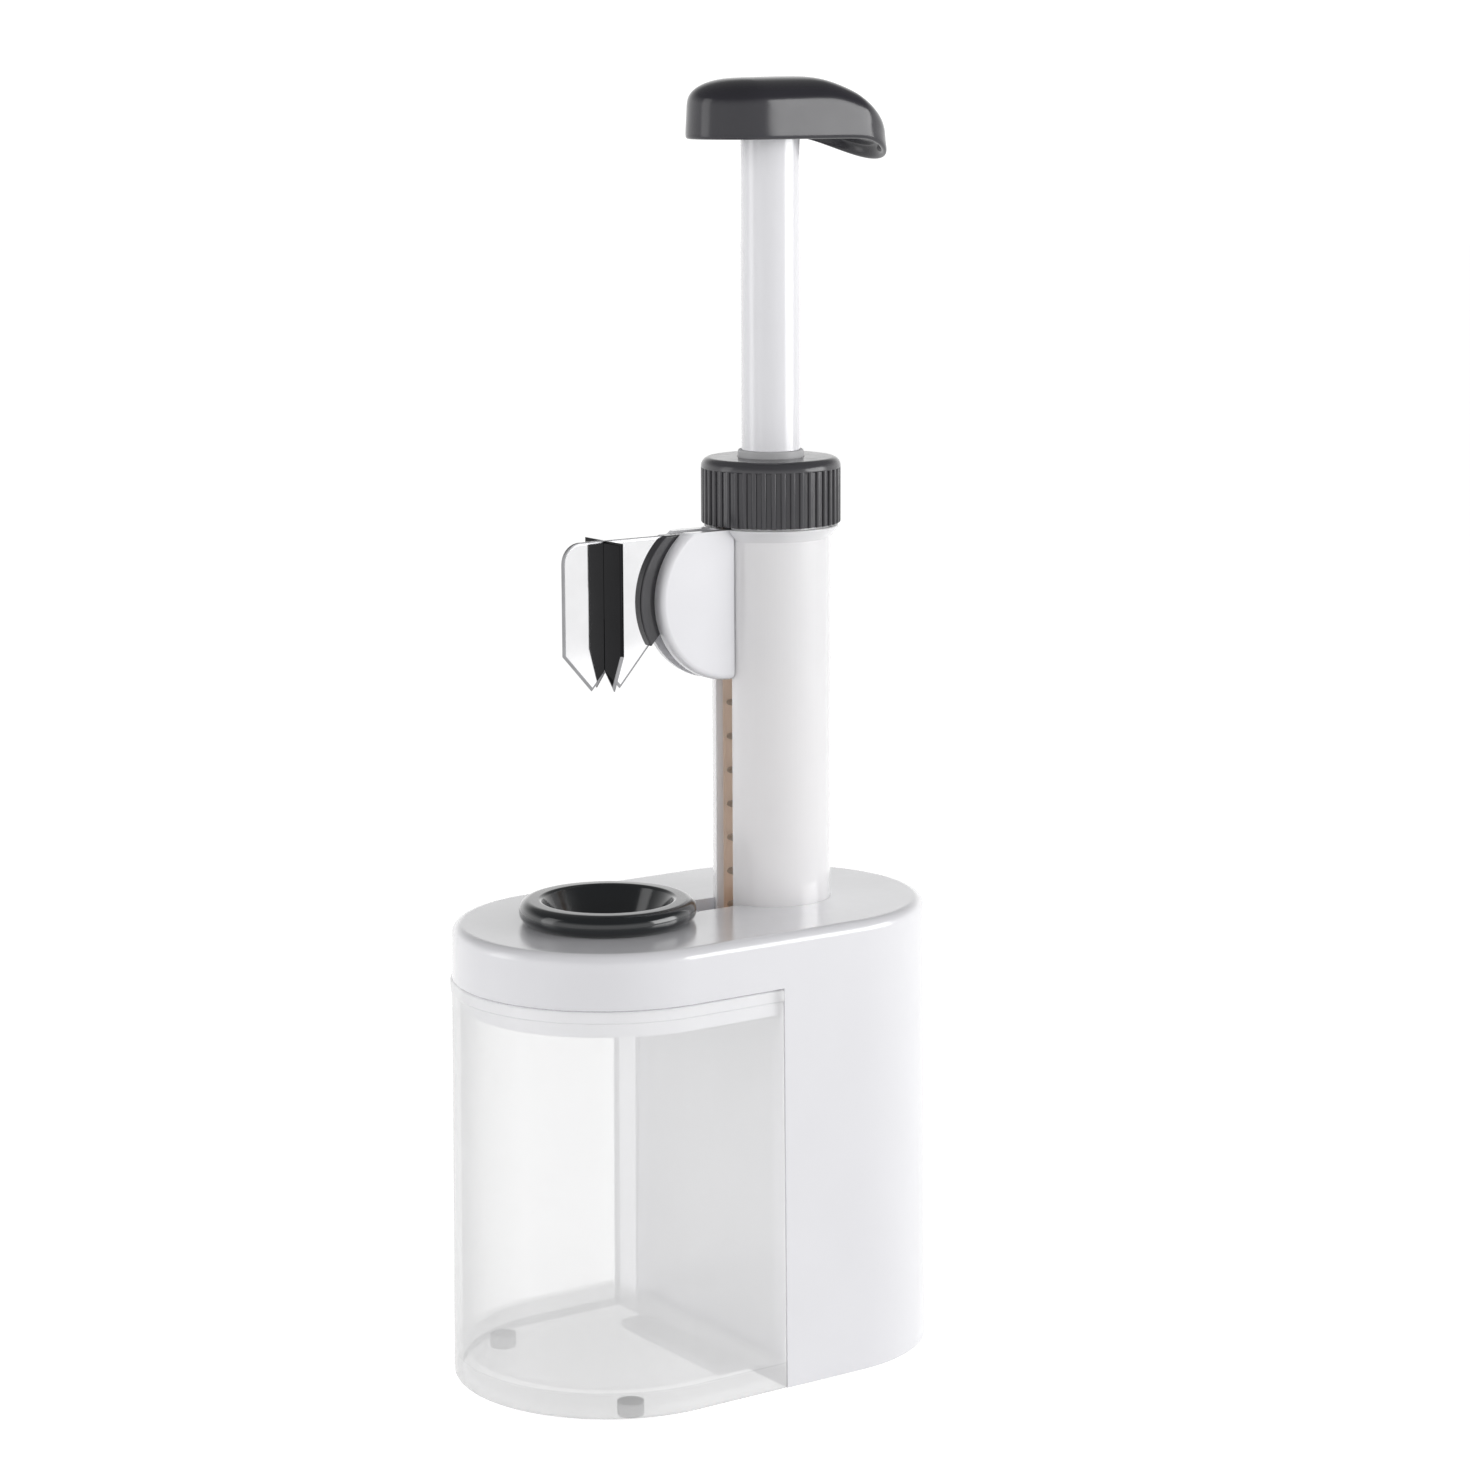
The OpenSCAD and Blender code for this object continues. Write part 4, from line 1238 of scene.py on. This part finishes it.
class PITTER_OT_stage(bpy.types.Operator):
    """Sets up the floor, the soft light and the camera"""

    bl_idname = "pitter.stage"
    bl_label = "Stage"

    # Name, place, width and height, power, and whether reflections show the lamp:
    # the left one only fills the shade
    lamps = (
        ("right", (0.72, -0.7, 0.36), (0.7, 0.5), 5.2, True),
        ("edge", (-0.89, 0.42, 0.36), (0.36, 0.9), 1.3, True),
        ("left", (-0.96, -0.22, 0.36), (0.22, 0.9), 2.2, False),
    )
    lamp_target = Vector((0, 0, 0.16))

    def execute(self, context):
        self.floor()
        self.surroundings(context.scene)
        for values in self.lamps:
            self.lamp(*values)
        self.camera(context.scene)
        return {"FINISHED"}

    def floor(self):
        """Wide pale floor that is white to the camera but keeps a soft shadow."""
        disc = {"vertices": 64, "radius": 6.0, "fill_type": "NGON", "location": (0, 0, -0.0002)}
        floor = begin(bpy.ops.mesh.primitive_circle_add, **disc)
        floor.name = "floor"
        recipe = Recipe("floor")
        recipe.link(recipe.tone((0.9, 0.9, 0.9), 3, 0.01), "Base Color")
        recipe.set(roughness=0.9)
        nodes, links = recipe.nodes, recipe.links
        glow = nodes.new("ShaderNodeEmission")
        mix = nodes.new("ShaderNodeMixShader")
        glow_share, glow_strength = 0.65, 1.4
        mix.inputs["Fac"].default_value = glow_share
        glow.inputs["Strength"].default_value = glow_strength
        links.new(recipe.shader.outputs["BSDF"], mix.inputs[1])
        links.new(glow.outputs["Emission"], mix.inputs[2])
        path = nodes.new("ShaderNodeLightPath")
        seen = path.outputs["Is Camera Ray"]
        for ray in ("Is Glossy Ray", "Is Transmission Ray"):
            seen = recipe.number("MAXIMUM", seen, path.outputs[ray])
        pick_ray = nodes.new("ShaderNodeMixShader")
        links.new(seen, pick_ray.inputs["Fac"])
        links.new(recipe.shader.outputs["BSDF"], pick_ray.inputs[1])
        links.new(mix.outputs["Shader"], pick_ray.inputs[2])
        links.new(pick_ray.outputs["Shader"], nodes["Material Output"].inputs["Surface"])
        floor.data.materials.append(recipe.material)

    def surroundings(self, scene):
        """White surroundings that grow dimmer overhead."""
        world = bpy.data.worlds.new("studio")
        scene.world = world
        world.use_nodes = True
        nodes, links = world.node_tree.nodes, world.node_tree.links
        background = nodes["Background"]
        background.inputs["Color"].default_value = (1, 1, 1, 1)
        place = nodes.new("ShaderNodeTexCoord")
        split = nodes.new("ShaderNodeSeparateXYZ")
        links.new(place.outputs["Generated"], split.inputs["Vector"])
        sky = nodes.new("ShaderNodeMapRange")
        reach = {"From Min": 0.15, "From Max": 0.5, "To Min": 1.15, "To Max": 0.23}
        for name, value in reach.items():
            sky.inputs[name].default_value = value
        links.new(split.outputs["Z"], sky.inputs["Value"])
        links.new(sky.outputs["Result"], background.inputs["Strength"])

    def lamp(self, name, place, size, power, reflected):
        """Soft upright lamp that looks at the middle of the object."""
        bpy.ops.object.light_add(type="AREA", location=place)
        lamp = bpy.context.object
        lamp.name = name
        lamp.data.shape = "RECTANGLE"
        lamp.data.size, lamp.data.size_y = size
        lamp.data.energy = power
        lamp.visible_glossy = reflected
        ahead = self.lamp_target - Vector(place)
        lamp.rotation_euler = ahead.to_track_quat("-Z", "Y").to_euler()

    def camera(self, scene):
        """Camera at the photograph's place, for a frame of 1470 by 1471."""
        azimuth, pitch, roll = (math.radians(a) for a in (-34.47, 10.2, -0.242))
        target, distance = Vector((0.0134, 0, 0.1559)), 0.9226
        focal_pixels, frame_pixels, sensor = 3730.3, 1471, 36
        level = Vector((math.sin(azimuth), -math.cos(azimuth), 0))
        back = level * math.cos(pitch) + Vector((0, 0, math.sin(pitch)))
        right = Vector((math.cos(azimuth), math.sin(azimuth), 0))
        up = back.cross(right)
        x = right * math.cos(roll) + up * math.sin(roll)
        y = up * math.cos(roll) - right * math.sin(roll)
        bpy.ops.object.camera_add()
        camera = bpy.context.object
        camera.name = "camera"
        camera.matrix_world = Matrix((x, y, back)).transposed().to_4x4()
        camera.location = target + back * distance
        camera.data.sensor_width = sensor
        camera.data.lens = focal_pixels * sensor / frame_pixels
        camera.data.clip_start = 0.05
        camera.data.clip_end = 50
        scene.camera = camera
        scene.view_settings.view_transform = "Standard"


OPERATORS = [
    PITTER_OT_stage,
    PITTER_OT_housing,
    PITTER_OT_container,
    PITTER_OT_column,
    PITTER_OT_cap,
    PITTER_OT_spring,
    PITTER_OT_carriage,
    PITTER_OT_blades,
    PITTER_OT_seat_ring,
    PITTER_OT_handle,
    PITTER_OT_plain_nodes,
]


class PITTER_PT_panel(bpy.types.Panel):
    """Lists the pieces of the plum pitter"""

    bl_idname = "PITTER_PT_panel"
    bl_label = "Plum pitter"
    bl_space_type = "VIEW_3D"
    bl_region_type = "UI"
    bl_category = "Plum pitter"

    def draw(self, context):
        for operator in OPERATORS:
            self.layout.operator(operator.bl_idname)
        for name, group in GROUPS.items():
            box = self.layout.box()
            for prop in group.__annotations__:
                box.prop(getattr(context.scene, name), prop)


def register():
    """Registers the property groups, the operators and the panel."""
    for name, group in GROUPS.items():
        bpy.utils.register_class(group)
        setattr(bpy.types.Scene, name, PointerProperty(type=group))
    for cls in (*OPERATORS, PITTER_PT_panel):
        bpy.utils.register_class(cls)


def unregister():
    """Takes back what register does."""
    for cls in (PITTER_PT_panel, *reversed(OPERATORS)):
        bpy.utils.unregister_class(cls)
    for name, group in reversed(GROUPS.items()):
        delattr(bpy.types.Scene, name)
        bpy.utils.unregister_class(group)


def main():
    """Builds the scene."""
    register()
    bpy.ops.pitter.stage()
    bpy.ops.pitter.housing()
    bpy.ops.pitter.container()
    bpy.ops.pitter.column()
    bpy.ops.pitter.cap()
    bpy.ops.pitter.spring()
    bpy.ops.pitter.carriage()
    bpy.ops.pitter.blades()
    bpy.ops.pitter.seat_ring()
    bpy.ops.pitter.handle()
    bpy.ops.pitter.plain_nodes()


if __name__ == "__main__":
    main()
